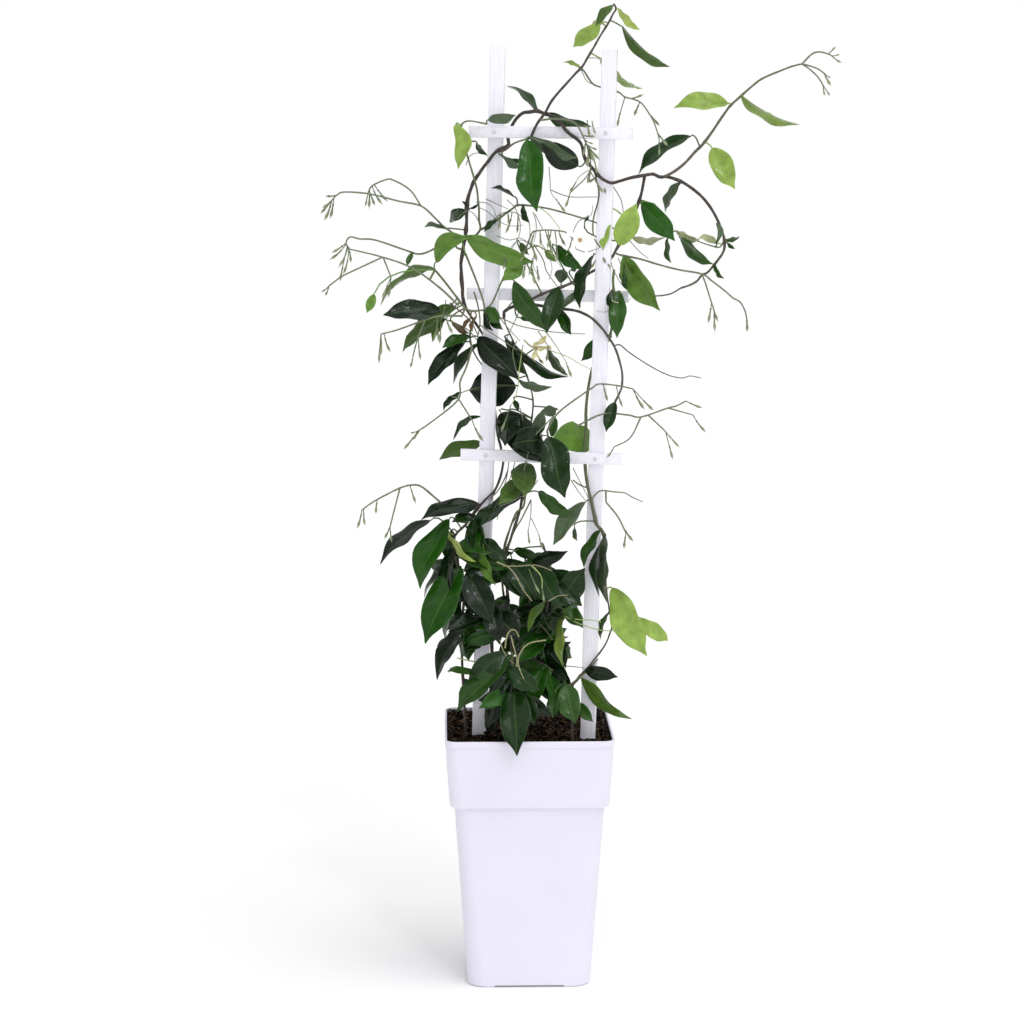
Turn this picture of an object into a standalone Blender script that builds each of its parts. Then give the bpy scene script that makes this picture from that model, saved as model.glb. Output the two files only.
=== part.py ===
"""Potted star jasmine on a nailed lath ladder, in a square plastic pot.

Metres, +Z up, origin at the middle of the pot's underside. The climber's shoots are tables
of places in millimetres, laid out as they look from EYE: across from the pot's middle, up
from its front foot, and depth behind (+) or before (-) the ladder.
"""

import math

import bmesh
import bpy
from mathutils import Vector

MM = 0.001

# Pot
RIM_HALF = 0.0844
BAND_HALF = 0.0798
BODY_HALF = 0.0752
FOOT_HALF = 0.0621
POT_HEIGHT = 0.258
BAND_FOOT = 0.190
BAND_STEP = 0.002
LIP_HEIGHT = 0.002
LIP_OUT = 0.0006
WALL = 0.0022
FLOOR = 0.0035
CORNER_RADIUS = 0.012
FOOT_CORNER_RADIUS = 0.019
CORNER_STEPS = 3
FOOT_ROUND = 0.0025
NOTCH_WIDTH = 0.070
NOTCH_HEIGHT = 0.002
NOTCH_DEPTH = 0.014
NOTCH_OUT = 0.001
SLOT_WIDTH = 0.028
SLOT_DEPTH = 0.005
SLOT_INSET = 0.010
SLOT_CUT = 0.012

# Soil
SOIL_TOP = 0.250
SOIL_GAP = 0.0004
SOIL_STEP_GAP = 0.0007
SOIL_EDGE_DROP = 0.004
SOIL_CROWN_HALF = 0.074
SOIL_CROWN_SHARES = (0.9, 0.6, 0.3)
SOIL_BUMP = 0.0015
SOIL_SINK = 0.001
SOCKET_GAP = 0.0004
SOCKET_RISE = 0.4
STEM_HOLE_GAP = 0.0009
STEM_HOLE_REACH = 0.045
SOIL_STEM_UP = 230

# Ladder of laths
LADDER_FOOT = (-0.0015, -0.0205, 0.0)
LADDER_LEAN = math.radians(1.6)
LADDER_TURN = math.radians(-11.0)
LATH_WIDTH = 0.015
LATH_THICK = 0.006
STAKE_ACROSS = 0.0553
STAKE_PLACES = {"left": -STAKE_ACROSS, "right": STAKE_ACROSS}
STAKE_FOOT = 0.060
LEFT_STAKE_TOP = 0.940
RIGHT_STAKE_TOP = 0.937
BAR_LENGTH = 0.162
BAR_WIDTH = 0.0115
BAR_THICK = 0.005
BAR_TILT = math.radians(1.0)
BAR_HEIGHTS = {"bar_top": 0.8555, "bar_middle": 0.6955, "bar_low": 0.5355}
BACK_BARS = ("bar_middle",)
TOUCH_GAP = 0.0003

# Nails
NAIL_HEAD_RADIUS = 0.0021
NAIL_HEAD_THICK = 0.0008
NAIL_SHANK_RADIUS = 0.0008
NAIL_LENGTH = 0.0092
NAIL_HOLE_RADIUS = 0.0012
NAIL_HOLE_SPARE = 0.0006
NAIL_HEAD_ROOM = 0.002
NAIL_SIDES = 6

# Where the tables of places are seen from
EYE = Vector((-0.084, -2.822, 0.871))
AIM = Vector((-0.0165, -0.022, 0.479))
AIM_ACROSS = -16
AIM_UP = 476

# Leaves: fraction of the length and share of the half width at each row of the blade
BLADE_ROWS = ((0.2, 0.76), (0.47, 1.0), (0.77, 0.66))
BLADE_HALF_THICK = 0.75
STALK_HALF = 0.8
WIDTH_SHARE = 0.42
FOLD = math.radians(17)
ARCH_SHARE = 0.07
MARGIN_WAVE = 0.05
NEAR_STEM = 4
BASE_OUT = 2
BLADE_PULL = 1.2
SIDEWAYS = 0.7

# Stems, in mm: those up to THIN_STEM in radius have four sides. A place goes where it is this
# near the straight line between its neighbours, or this share of the stem's thin radius
THIN_STEM = 2.2
STRAIGHT_WITHIN = 0.6
STRAIGHT_SHARE = 0.5
LONGEST_STEP = 40

# Buds, in mm: length, radius and place of the widest ring, stalk
BUD_LENGTH = 15
BUD_SHARE = 0.8
BUD_RADIUS = 1.35
BUD_WIDEST = 0.6
BUD_STALK_RADIUS = 0.5
BUD_SINK = 0.3
BUD_SIDES = 3

# Petals: share of the reach, half width as a share of it, and turn about the petal's length
PETALS = 5
PETAL_ROWS = ((0.06, 0.08, 0.5), (0.4, 0.2, 0.4), (0.78, 0.3, 0.25))
PETAL_START = 0.3
PETAL_SWEEP = 0.16
PETAL_TIP_SWEEP = 0.42
PETAL_HALF_THICK = 0.45
TUBE_SIDES = 6
TUBE_NECK = 6
TUBE_MOUTH = 0.4
TUBE_RADII = (0.6, 0.9, 1.7)

COLOURS = {
    "pot_plastic": ((0.84, 0.82, 0.91), 0.35),
    "potting_soil": ((0.022, 0.013, 0.010), 0.95),
    "whitewashed_lath": ((0.80, 0.79, 0.86), 0.75),
    "steel_nail": ((0.35, 0.34, 0.33), 0.45),
    "jasmine_leaf": ((0.030, 0.085, 0.015), 0.35),
    "young_leaf": ((0.23, 0.38, 0.09), 0.40),
    "bud_green": ((0.45, 0.55, 0.25), 0.50),
    "petal_white": ((0.85, 0.84, 0.80), 0.60),
    "petal_cream": ((0.75, 0.62, 0.33), 0.70),
}


def material(name):
    """Principled material of one of COLOURS, made once."""
    found = bpy.data.materials.get(name)
    if found:
        return found
    colour, roughness = COLOURS[name]
    made = bpy.data.materials.new(name)
    made.use_nodes = True
    shader = made.node_tree.nodes["Principled BSDF"]
    shader.inputs["Base Color"].default_value = (*colour, 1)
    shader.inputs["Roughness"].default_value = roughness
    shader.inputs["Metallic"].default_value = 1.0 if name == "steel_nail" else 0.0
    return made


def clear_scene():
    for thing in list(bpy.data.objects):
        bpy.data.objects.remove(thing)


def new_collection(name, hidden=False):
    made = bpy.data.collections.new(name)
    made.hide_render = hidden
    bpy.context.scene.collection.children.link(made)
    return made


def new_object(name, mesh, collection, finish=None):
    made = bpy.data.objects.new(name, mesh)
    collection.objects.link(made)
    if finish:
        mesh.materials.clear()
        mesh.materials.append(material(finish))
    return made


def skin(name, rings, tip=None, alike=False):
    """Closed mesh over rings of equal point count, from a flat first end to the last ring or a tip.

    With `alike`, even points are margins and odd ones ribs, and each quad is split from margin
    to rib, so that both faces of a thin blade bend alike.
    """
    shape = bmesh.new()
    rows = [[shape.verts.new(point) for point in ring] for ring in rings]
    count = len(rows[0])
    for low, high in zip(rows, rows[1:]):
        for i in range(count):
            j = (i + 1) % count
            if not alike:
                shape.faces.new((low[i], low[j], high[j], high[i]))
            elif i % 2 == 0:
                shape.faces.new((low[i], low[j], high[j]))
                shape.faces.new((low[i], high[j], high[i]))
            else:
                shape.faces.new((low[i], low[j], high[i]))
                shape.faces.new((low[j], high[j], high[i]))
    shape.faces.new(rows[0])
    if tip is None:
        shape.faces.new(rows[-1])
    else:
        end = shape.verts.new(tip)
        for i in range(count):
            shape.faces.new((rows[-1][i], rows[-1][(i + 1) % count], end))
    bmesh.ops.recalc_face_normals(shape, faces=shape.faces)
    mesh = bpy.data.meshes.new(name)
    shape.to_mesh(mesh)
    shape.free()
    return mesh


def evaluated_copy(thing):
    """New mesh holding what the object's modifiers or bevel make."""
    graph = bpy.context.evaluated_depsgraph_get()
    return bpy.data.meshes.new_from_object(thing.evaluated_get(graph))


def weld(mesh, distance=1e-6):
    shape = bmesh.new()
    shape.from_mesh(mesh)
    bmesh.ops.remove_doubles(shape, verts=shape.verts, dist=distance)
    shape.to_mesh(mesh)
    shape.free()


# Pot and soil


def rounded_square(half, radius, height):
    """Ring of points round a square of half side `half` with round corners."""
    points = []
    for corner in range(4):
        turn = math.radians(90 * corner)
        middle = Vector((half - radius, half - radius, 0))
        for step in range(CORNER_STEPS):
            angle = math.radians(90 * step / (CORNER_STEPS - 1))
            point = middle + radius * Vector((math.cos(angle), math.sin(angle), 0))
            x = point.x * math.cos(turn) - point.y * math.sin(turn)
            y = point.x * math.sin(turn) + point.y * math.cos(turn)
            points.append(Vector((x, y, height)))
    return points


def wall_ring(height, half, inset=0.0):
    """Ring of the pot's wall at a height, its corner rounder towards the foot."""
    share = height / POT_HEIGHT
    radius = FOOT_CORNER_RADIUS + (CORNER_RADIUS - FOOT_CORNER_RADIUS) * share
    return rounded_square(half - inset, radius - inset, height)


def outer_half(height):
    """Half width of the outside of the wall, below and above the band's step."""
    if height < BAND_FOOT:
        return FOOT_HALF + (BODY_HALF - FOOT_HALF) * height / BAND_FOOT
    share = (height - BAND_FOOT) / (POT_HEIGHT - BAND_FOOT)
    return BAND_HALF + (RIM_HALF - BAND_HALF) * share


def make_pot(parts, cutters):
    lip_foot = POT_HEIGHT - LIP_HEIGHT
    step_top = BAND_FOOT + BAND_STEP
    rings = [
        wall_ring(0.0, FOOT_HALF, FOOT_ROUND),
        wall_ring(FOOT_ROUND, outer_half(FOOT_ROUND)),
        wall_ring(BAND_FOOT - BAND_STEP / 2, BODY_HALF),
        wall_ring(BAND_FOOT, BAND_HALF),
        wall_ring(lip_foot - LIP_OUT, outer_half(lip_foot) - LIP_OUT),
        wall_ring(lip_foot, RIM_HALF),
        wall_ring(POT_HEIGHT - LIP_OUT, RIM_HALF),
        wall_ring(POT_HEIGHT, RIM_HALF, LIP_OUT),
        wall_ring(POT_HEIGHT, RIM_HALF, WALL),
        wall_ring(step_top, outer_half(step_top), WALL),
        wall_ring(BAND_FOOT - BAND_STEP, BODY_HALF, WALL),
        wall_ring(FLOOR, outer_half(FLOOR), WALL),
    ]
    pot = new_object("pot", skin("pot", rings), parts, "pot_plastic")
    for number in range(4):
        turn = math.radians(90 * number)
        outward = Vector((math.sin(turn), -math.cos(turn), 0))
        notch_middle = outward * (FOOT_HALF + NOTCH_OUT)
        notch_size = (NOTCH_WIDTH, 2 * NOTCH_DEPTH, 2 * NOTCH_HEIGHT)
        notch = box_cutter(f"notch_{number}", notch_middle, notch_size, turn)
        slot_middle = outward * (FOOT_HALF - SLOT_INSET)
        slot = box_cutter(f"slot_{number}", slot_middle, (SLOT_WIDTH, SLOT_DEPTH, SLOT_CUT), turn)
        for cutter in (notch, slot):
            cut(pot, cutter, cutters)


def make_soil(parts, cutters, hole_cutters):
    """Plug of soil a hair clear of the wall, with a low uneven crown and holes for what stands in it."""
    inset = WALL + SOIL_GAP
    floor = FLOOR + SOIL_GAP
    step_low = BAND_FOOT - BAND_STEP - SOIL_GAP
    step_high = BAND_FOOT + BAND_STEP + SOIL_GAP
    edge = SOIL_TOP - SOIL_EDGE_DROP
    rings = [
        wall_ring(floor, outer_half(floor), inset),
        wall_ring(step_low, BODY_HALF, WALL + SOIL_STEP_GAP),
        wall_ring(step_high, outer_half(step_high), inset),
        wall_ring(edge, outer_half(edge), inset),
    ]
    for number, share in enumerate(SOIL_CROWN_SHARES):
        ring = []
        outline = rounded_square(SOIL_CROWN_HALF * share, CORNER_RADIUS * share, SOIL_TOP - SOIL_SINK)
        for count, point in enumerate(outline):
            bump = SOIL_BUMP * math.sin(2.3 * count + 1.7 * number)
            ring.append(point + Vector((0, 0, bump)))
        rings.append(ring)
    soil = new_object("soil", skin("soil", rings), parts, "potting_soil")
    for cutter in hole_cutters:
        cut(soil, cutter, cutters)


def box_cutter(name, middle, size, turn=0.0):
    shape = bmesh.new()
    bmesh.ops.create_cube(shape, size=1.0)
    bmesh.ops.scale(shape, vec=size, verts=shape.verts)
    mesh = bpy.data.meshes.new(name)
    shape.to_mesh(mesh)
    shape.free()
    cutter = bpy.data.objects.new(name, mesh)
    cutter.location = middle
    cutter.rotation_euler = (0, 0, turn)
    return cutter


def rod_cutter(name, radius, low, high):
    """Round cutter between two points."""
    shape = bmesh.new()
    span = high - low
    bmesh.ops.create_cone(
        shape, cap_ends=True, segments=NAIL_SIDES, radius1=radius, radius2=radius, depth=span.length
    )
    mesh = bpy.data.meshes.new(name)
    shape.to_mesh(mesh)
    shape.free()
    cutter = bpy.data.objects.new(name, mesh)
    cutter.location = (low + high) / 2
    cutter.rotation_mode = "QUATERNION"
    cutter.rotation_quaternion = span.to_track_quat("Z", "Y")
    return cutter


def cut(thing, cutter, cutters):
    """Live Boolean that takes the cutter out of the thing."""
    if cutter.name not in cutters.objects:
        cutters.objects.link(cutter)
    cutter.hide_render = True
    cutter.display_type = "WIRE"
    change = thing.modifiers.new(cutter.name, "BOOLEAN")
    change.operation = "DIFFERENCE"
    change.object = cutter


# Ladder


def lath(name, size, place, turn, parts, ladder):
    shape = bmesh.new()
    bmesh.ops.create_cube(shape, size=1.0)
    bmesh.ops.scale(shape, vec=size, verts=shape.verts)
    mesh = bpy.data.meshes.new(name)
    shape.to_mesh(mesh)
    shape.free()
    made = new_object(name, mesh, parts, "whitewashed_lath")
    made.location = place
    made.rotation_euler = (0, turn, 0)
    made.parent = ladder
    return made


def nail_mesh():
    """Turned nail: flat head at y = 0, shank along +Y."""
    tip = NAIL_LENGTH
    neck = NAIL_SHANK_RADIUS
    profile = (
        (NAIL_HEAD_RADIUS * 0.75, -NAIL_HEAD_THICK),
        (NAIL_HEAD_RADIUS, -NAIL_HEAD_THICK * 0.5),
        (NAIL_HEAD_RADIUS, -NAIL_HEAD_THICK * 0.1),
        (neck, 0.0),
        (neck, tip * 0.75),
    )
    rings = []
    for radius, along in profile:
        ring = []
        for side in range(NAIL_SIDES):
            angle = math.tau * side / NAIL_SIDES
            ring.append(Vector((radius * math.cos(angle), along, radius * math.sin(angle))))
        rings.append(ring)
    return skin("nail", rings, Vector((0, tip, 0)))


def make_ladder(parts, cutters):
    """Two stakes, three bars across them and a nail at each crossing."""
    ladder = bpy.data.objects.new("ladder", None)
    parts.objects.link(ladder)
    ladder.location = LADDER_FOOT
    ladder.rotation_euler = (0, LADDER_LEAN, LADDER_TURN)
    stakes = {}
    tops = {"left": LEFT_STAKE_TOP, "right": RIGHT_STAKE_TOP}
    for side, across in STAKE_PLACES.items():
        top = tops[side]
        size = (LATH_WIDTH, LATH_THICK, top - STAKE_FOOT)
        place = (across, 0, (top + STAKE_FOOT) / 2)
        stakes[side] = lath(f"stake_{side}", size, place, 0, parts, ladder)
    shank = nail_mesh()
    for name, height in BAR_HEIGHTS.items():
        face = 1 if name in BACK_BARS else -1
        stand_off = face * ((LATH_THICK + BAR_THICK) / 2 + TOUCH_GAP)
        size = (BAR_LENGTH, BAR_THICK, BAR_WIDTH)
        bar = lath(name, size, (0, stand_off, height), -BAR_TILT, parts, ladder)
        outside = stand_off + face * (BAR_THICK / 2 + TOUCH_GAP)
        for side, stake in stakes.items():
            across = STAKE_PLACES[side]
            place = Vector((across, outside, height + across * math.sin(BAR_TILT)))
            nail = new_object(f"nail_{name[4:]}_{side}", shank, parts, "steel_nail")
            nail.location = place
            nail.rotation_euler = (0, 0, math.pi if face > 0 else 0)
            nail.parent = ladder
            inner = place + Vector((0, -face * (NAIL_LENGTH + NAIL_HOLE_SPARE), 0))
            outer = place + Vector((0, face * NAIL_HEAD_ROOM, 0))
            hole = rod_cutter(f"hole_{name}_{side}", NAIL_HOLE_RADIUS, outer, inner)
            hole.parent = ladder
            cut(bar, hole, cutters)
            cut(stake, hole, cutters)
    return ladder


def stem_holes():
    """Cutters for the plain holes that the stems stand in: a little wider than each stem."""
    made = []
    for name, shoot in SHOOTS.items():
        for number, (thick, thin, route) in enumerate(shoot["stems"]):
            if route[0][1] > SOIL_STEM_UP:
                continue
            foot, above = eased(route, thin)[:2]
            rise = (above - foot).normalized()
            radius = thick * MM + STEM_HOLE_GAP
            low = foot - rise * STEM_HOLE_GAP
            high = foot + rise * STEM_HOLE_REACH
            made.append(rod_cutter(f"root_hole_{name}_{number}", radius, low, high))
    return made


def stake_holes(ladder):
    """Cutters for the stakes' sockets in the soil."""
    made = []
    for side, across in STAKE_PLACES.items():
        size = (LATH_WIDTH + 2 * SOCKET_GAP, LATH_THICK + 2 * SOCKET_GAP, SOCKET_RISE)
        place = Vector((across, 0, STAKE_FOOT + SOCKET_RISE / 2 - SOCKET_GAP))
        cutter = box_cutter(f"socket_{side}", place, size)
        cutter.parent = ladder
        made.append(cutter)
    return made


# Places seen from EYE


def sight(across, up, depth):
    """World point seen at (across, up) millimetres from EYE, at a depth from the ladder's plane."""
    ahead = (AIM - EYE).normalized()
    right = ahead.cross(Vector((0, 0, 1))).normalized()
    above = right.cross(ahead)
    target = AIM + MM * (right * (across - AIM_ACROSS) + above * (up - AIM_UP))
    ray = target - EYE
    reach = (AIM.y + depth * MM - EYE.y) / ray.y
    return EYE + ray * reach


def nearest_place(routes, across, up):
    """(across, up, depth) of the place on the routes that looks nearest to (across, up)."""
    best = None
    for route in routes:
        for (a0, u0, d0), (a1, u1, d1) in zip(route, route[1:]):
            run_a, run_u = a1 - a0, u1 - u0
            share = ((across - a0) * run_a + (up - u0) * run_u) / (run_a**2 + run_u**2)
            share = min(1.0, max(0.0, share))
            place = (a0 + share * run_a, u0 + share * run_u, d0 + share * (d1 - d0))
            gap = math.hypot(across - place[0], up - place[1])
            if best is None or gap < best[0]:
                best = (gap, place)
    return best[1]


# Stems, leaves and buds


def eased(route, thin):
    """World points of a route, without those that lie on the straight line between their neighbours."""
    points = [sight(*place) for place in route]
    slack = max(STRAIGHT_WITHIN, STRAIGHT_SHARE * thin) * MM
    kept = [points[0]]
    for number in range(1, len(points) - 1):
        before, here, after = kept[-1], points[number], points[number + 1]
        run = (after - before).normalized()
        off = (here - before) - run * (here - before).dot(run)
        if off.length > slack or (here - before).length > LONGEST_STEP * MM:
            kept.append(here)
    kept.append(points[-1])
    return kept


def stem_piece(name, route, thick, thin, sides):
    """Tube along a route of places, its radius falling from `thick` to `thin` millimetres."""
    curve = bpy.data.curves.new(name, "CURVE")
    curve.dimensions = "3D"
    curve.bevel_depth = thick * MM
    curve.bevel_resolution = (sides - 4) // 2
    curve.use_fill_caps = True
    line = curve.splines.new("POLY")
    places = eased(route, thin)
    line.points.add(len(places) - 1)
    for number, (place, point) in enumerate(zip(places, line.points)):
        point.co = (*place, 1)
        share = number / (len(places) - 1)
        point.radius = 1 + (thin / thick - 1) * share
    guide = bpy.data.objects.new(name, curve)
    bpy.context.scene.collection.objects.link(guide)
    mesh = evaluated_copy(guide)
    weld(mesh)
    bpy.data.objects.remove(guide)
    bpy.data.curves.remove(curve)
    return mesh


def square_ring(middle, heading, across, normal, half):
    """Four points round a leaf stalk that runs along `heading`, in step with the blade's own rows."""
    if abs(heading.dot(across)) < SIDEWAYS:
        side = (across - heading * heading.dot(across)).normalized()
    else:
        side = heading.cross(normal).normalized()
    face = side.cross(heading)
    return [middle - side * half, middle + face * half, middle + side * half, middle - face * half]


def leaf_pieces(name, routes, leaf):
    """Folded, arched blade on its stalk: (base, tip, seen width, tip's reach in depth, side bend)."""
    base_across, base_up, tip_across, tip_up, seen, reach, bend = leaf
    foot = nearest_place(routes, base_across, base_up)
    root = sight(*foot)
    base = sight(base_across, base_up, foot[2] + math.copysign(BASE_OUT, reach))
    tip = sight(tip_across, tip_up, foot[2] + reach)
    along = tip - base
    length = along.length
    along.normalize()
    width = max(abs(seen) * MM, WIDTH_SHARE * length)
    to_eye = (EYE - base).normalized()
    facing = (to_eye - along * to_eye.dot(along)).normalized()
    beside = along.cross(facing)
    roll = math.copysign(math.acos(abs(seen) * MM / width), seen)
    normal = facing * math.cos(roll) + beside * math.sin(roll)
    across = along.cross(normal)
    stalk = STALK_HALF * MM
    lead = (base - root).normalized()
    near = (base - root).length < NEAR_STEM * MM
    pieces = []
    if near:
        lead = along
    elif lead.dot(along) < 0:
        far = square_ring(base + lead * stalk, lead, across, normal, stalk)
        pieces.append(skin(f"{name}_stalk", [square_ring(root, lead, across, normal, stalk), far]))
        root = base - along * 2 * stalk
        lead = along
    rings = [square_ring(root, lead, across, normal, stalk)]
    if not near and not pieces:
        heading = (lead + along * BLADE_PULL).normalized()
        rings.append(square_ring(base, heading, across, normal, stalk))
    for number, (share, wide) in enumerate(BLADE_ROWS):
        swell = math.sin(math.pi * share)
        middle = base + along * (length * share)
        middle += normal * (ARCH_SHARE * length * swell) + across * (bend * MM * swell)
        half = width / 2 * wide
        wave = MARGIN_WAVE * half * (-1) ** number
        lift = half * math.sin(FOLD)
        out = half * math.cos(FOLD)
        thick = BLADE_HALF_THICK * MM
        left = middle - across * out + normal * (lift + wave)
        right = middle + across * out + normal * (lift - wave)
        rings.append([left, middle + normal * thick, right, middle - normal * thick])
    pieces.append(skin(name, rings, tip, alike=True))
    return pieces


def bud_piece(name, routes, bud):
    """Slender bud on its stalk: (root across, root up, tip across, tip up, reach)."""
    root_across, root_up, tip_across, tip_up, reach = bud
    foot = nearest_place(routes, root_across, root_up)
    root = sight(*foot)
    tip = sight(tip_across, tip_up, foot[2] + reach)
    along = tip - root
    length = along.length
    along.normalize()
    side = along.orthogonal().normalized()
    other = along.cross(side)
    swollen = min(BUD_LENGTH * MM, BUD_SHARE * length)
    widest = length - swollen * (1 - BUD_WIDEST)
    rings = []
    for distance, radius in ((-BUD_SINK * MM, BUD_STALK_RADIUS), (widest, BUD_RADIUS)):
        ring = []
        for corner in range(BUD_SIDES):
            angle = math.tau * corner / BUD_SIDES
            out = side * math.cos(angle) + other * math.sin(angle)
            ring.append(root + along * distance + out * radius * MM)
        rings.append(ring)
    return skin(name, rings, tip)


def flower_pieces(name, flower):
    """Tube and five petals turned like a pinwheel, facing EYE; `lift` bends the petals' tips."""
    centre = sight(*flower["middle"])
    root = sight(*flower["foot"])
    axis = (EYE - centre).normalized()
    side = axis.orthogonal().normalized()
    other = axis.cross(side)
    neck = centre - axis * TUBE_NECK * MM
    mouth = centre + axis * TUBE_MOUTH * MM
    rings = []
    for place, radius in zip((root, neck, mouth), TUBE_RADII):
        ring = []
        for corner in range(TUBE_SIDES):
            angle = math.tau * corner / TUBE_SIDES
            ring.append(place + (side * math.cos(angle) + other * math.sin(angle)) * radius * MM)
        rings.append(ring)
    meshes = [skin(f"{name}_tube", rings)]
    reach = flower["radius"] * MM
    for petal in range(PETALS):
        angle = math.tau * petal / PETALS + PETAL_START
        along = side * math.cos(angle) + other * math.sin(angle)
        across = axis.cross(along)
        rings = []
        for share, half, twist in PETAL_ROWS:
            middle = centre + along * reach * share + across * reach * PETAL_SWEEP * share
            middle += axis * flower["lift"] * MM * share**2
            out = across * math.cos(twist) + axis * math.sin(twist)
            thick = axis * PETAL_HALF_THICK * MM
            wide = out * reach * half
            rings.append([middle - wide, middle + thick, middle + wide, middle - thick])
        tip = centre + along * reach + across * reach * PETAL_TIP_SWEEP + axis * flower["lift"] * MM
        meshes.append(skin(f"{name}_petal_{petal}", rings, tip, alike=True))
    return meshes


def fuse(name, meshes, finish, parts):
    """One body from overlapping meshes, by one Boolean union over a collection."""
    heap = new_collection(f"{name}_pieces")
    for number, mesh in enumerate(meshes[1:]):
        new_object(f"{name}_piece_{number}", mesh, heap)
    trunk = new_object(f"{name}_trunk", meshes[0], parts)
    if len(meshes) > 1:
        joined = trunk.modifiers.new("join", "BOOLEAN")
        joined.operation = "UNION"
        joined.operand_type = "COLLECTION"
        joined.collection = heap
        joined.solver = "EXACT"
    bpy.context.view_layer.update()
    whole = evaluated_copy(trunk)
    whole.name = name
    for piece in list(heap.objects):
        bpy.data.objects.remove(piece)
    bpy.data.objects.remove(trunk)
    bpy.data.collections.remove(heap)
    made = new_object(name, whole, parts, finish)
    whole.shade_smooth()
    return made


def make_shoot(name, shoot, parts):
    """Leafy stem: its stems, then its leaves on stalks from the nearest stem."""
    routes = [route for _, _, route in shoot["stems"]]
    meshes = []
    for number, (thick, thin, route) in enumerate(shoot["stems"]):
        sides = 6 if thick > THIN_STEM else 4
        meshes.append(stem_piece(f"{name}_stem_{number}", route, thick, thin, sides))
    for number, leaf in enumerate(shoot.get("leaves", ())):
        leaf = leaf + (0,) * (7 - len(leaf))
        meshes += leaf_pieces(f"{name}_leaf_{number}", routes, leaf)
    for number, bud in enumerate(shoot.get("buds", ())):
        meshes.append(bud_piece(f"{name}_bud_{number}", routes, bud))
    fuse(name, meshes, shoot.get("finish", "jasmine_leaf"), parts)


# Shoots: stems are (thick, thin, places); leaves are (base across, base up, tip across, tip up,
# seen width, reach of the tip in depth, side bend); buds are (tip across, tip up, reach).

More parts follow.
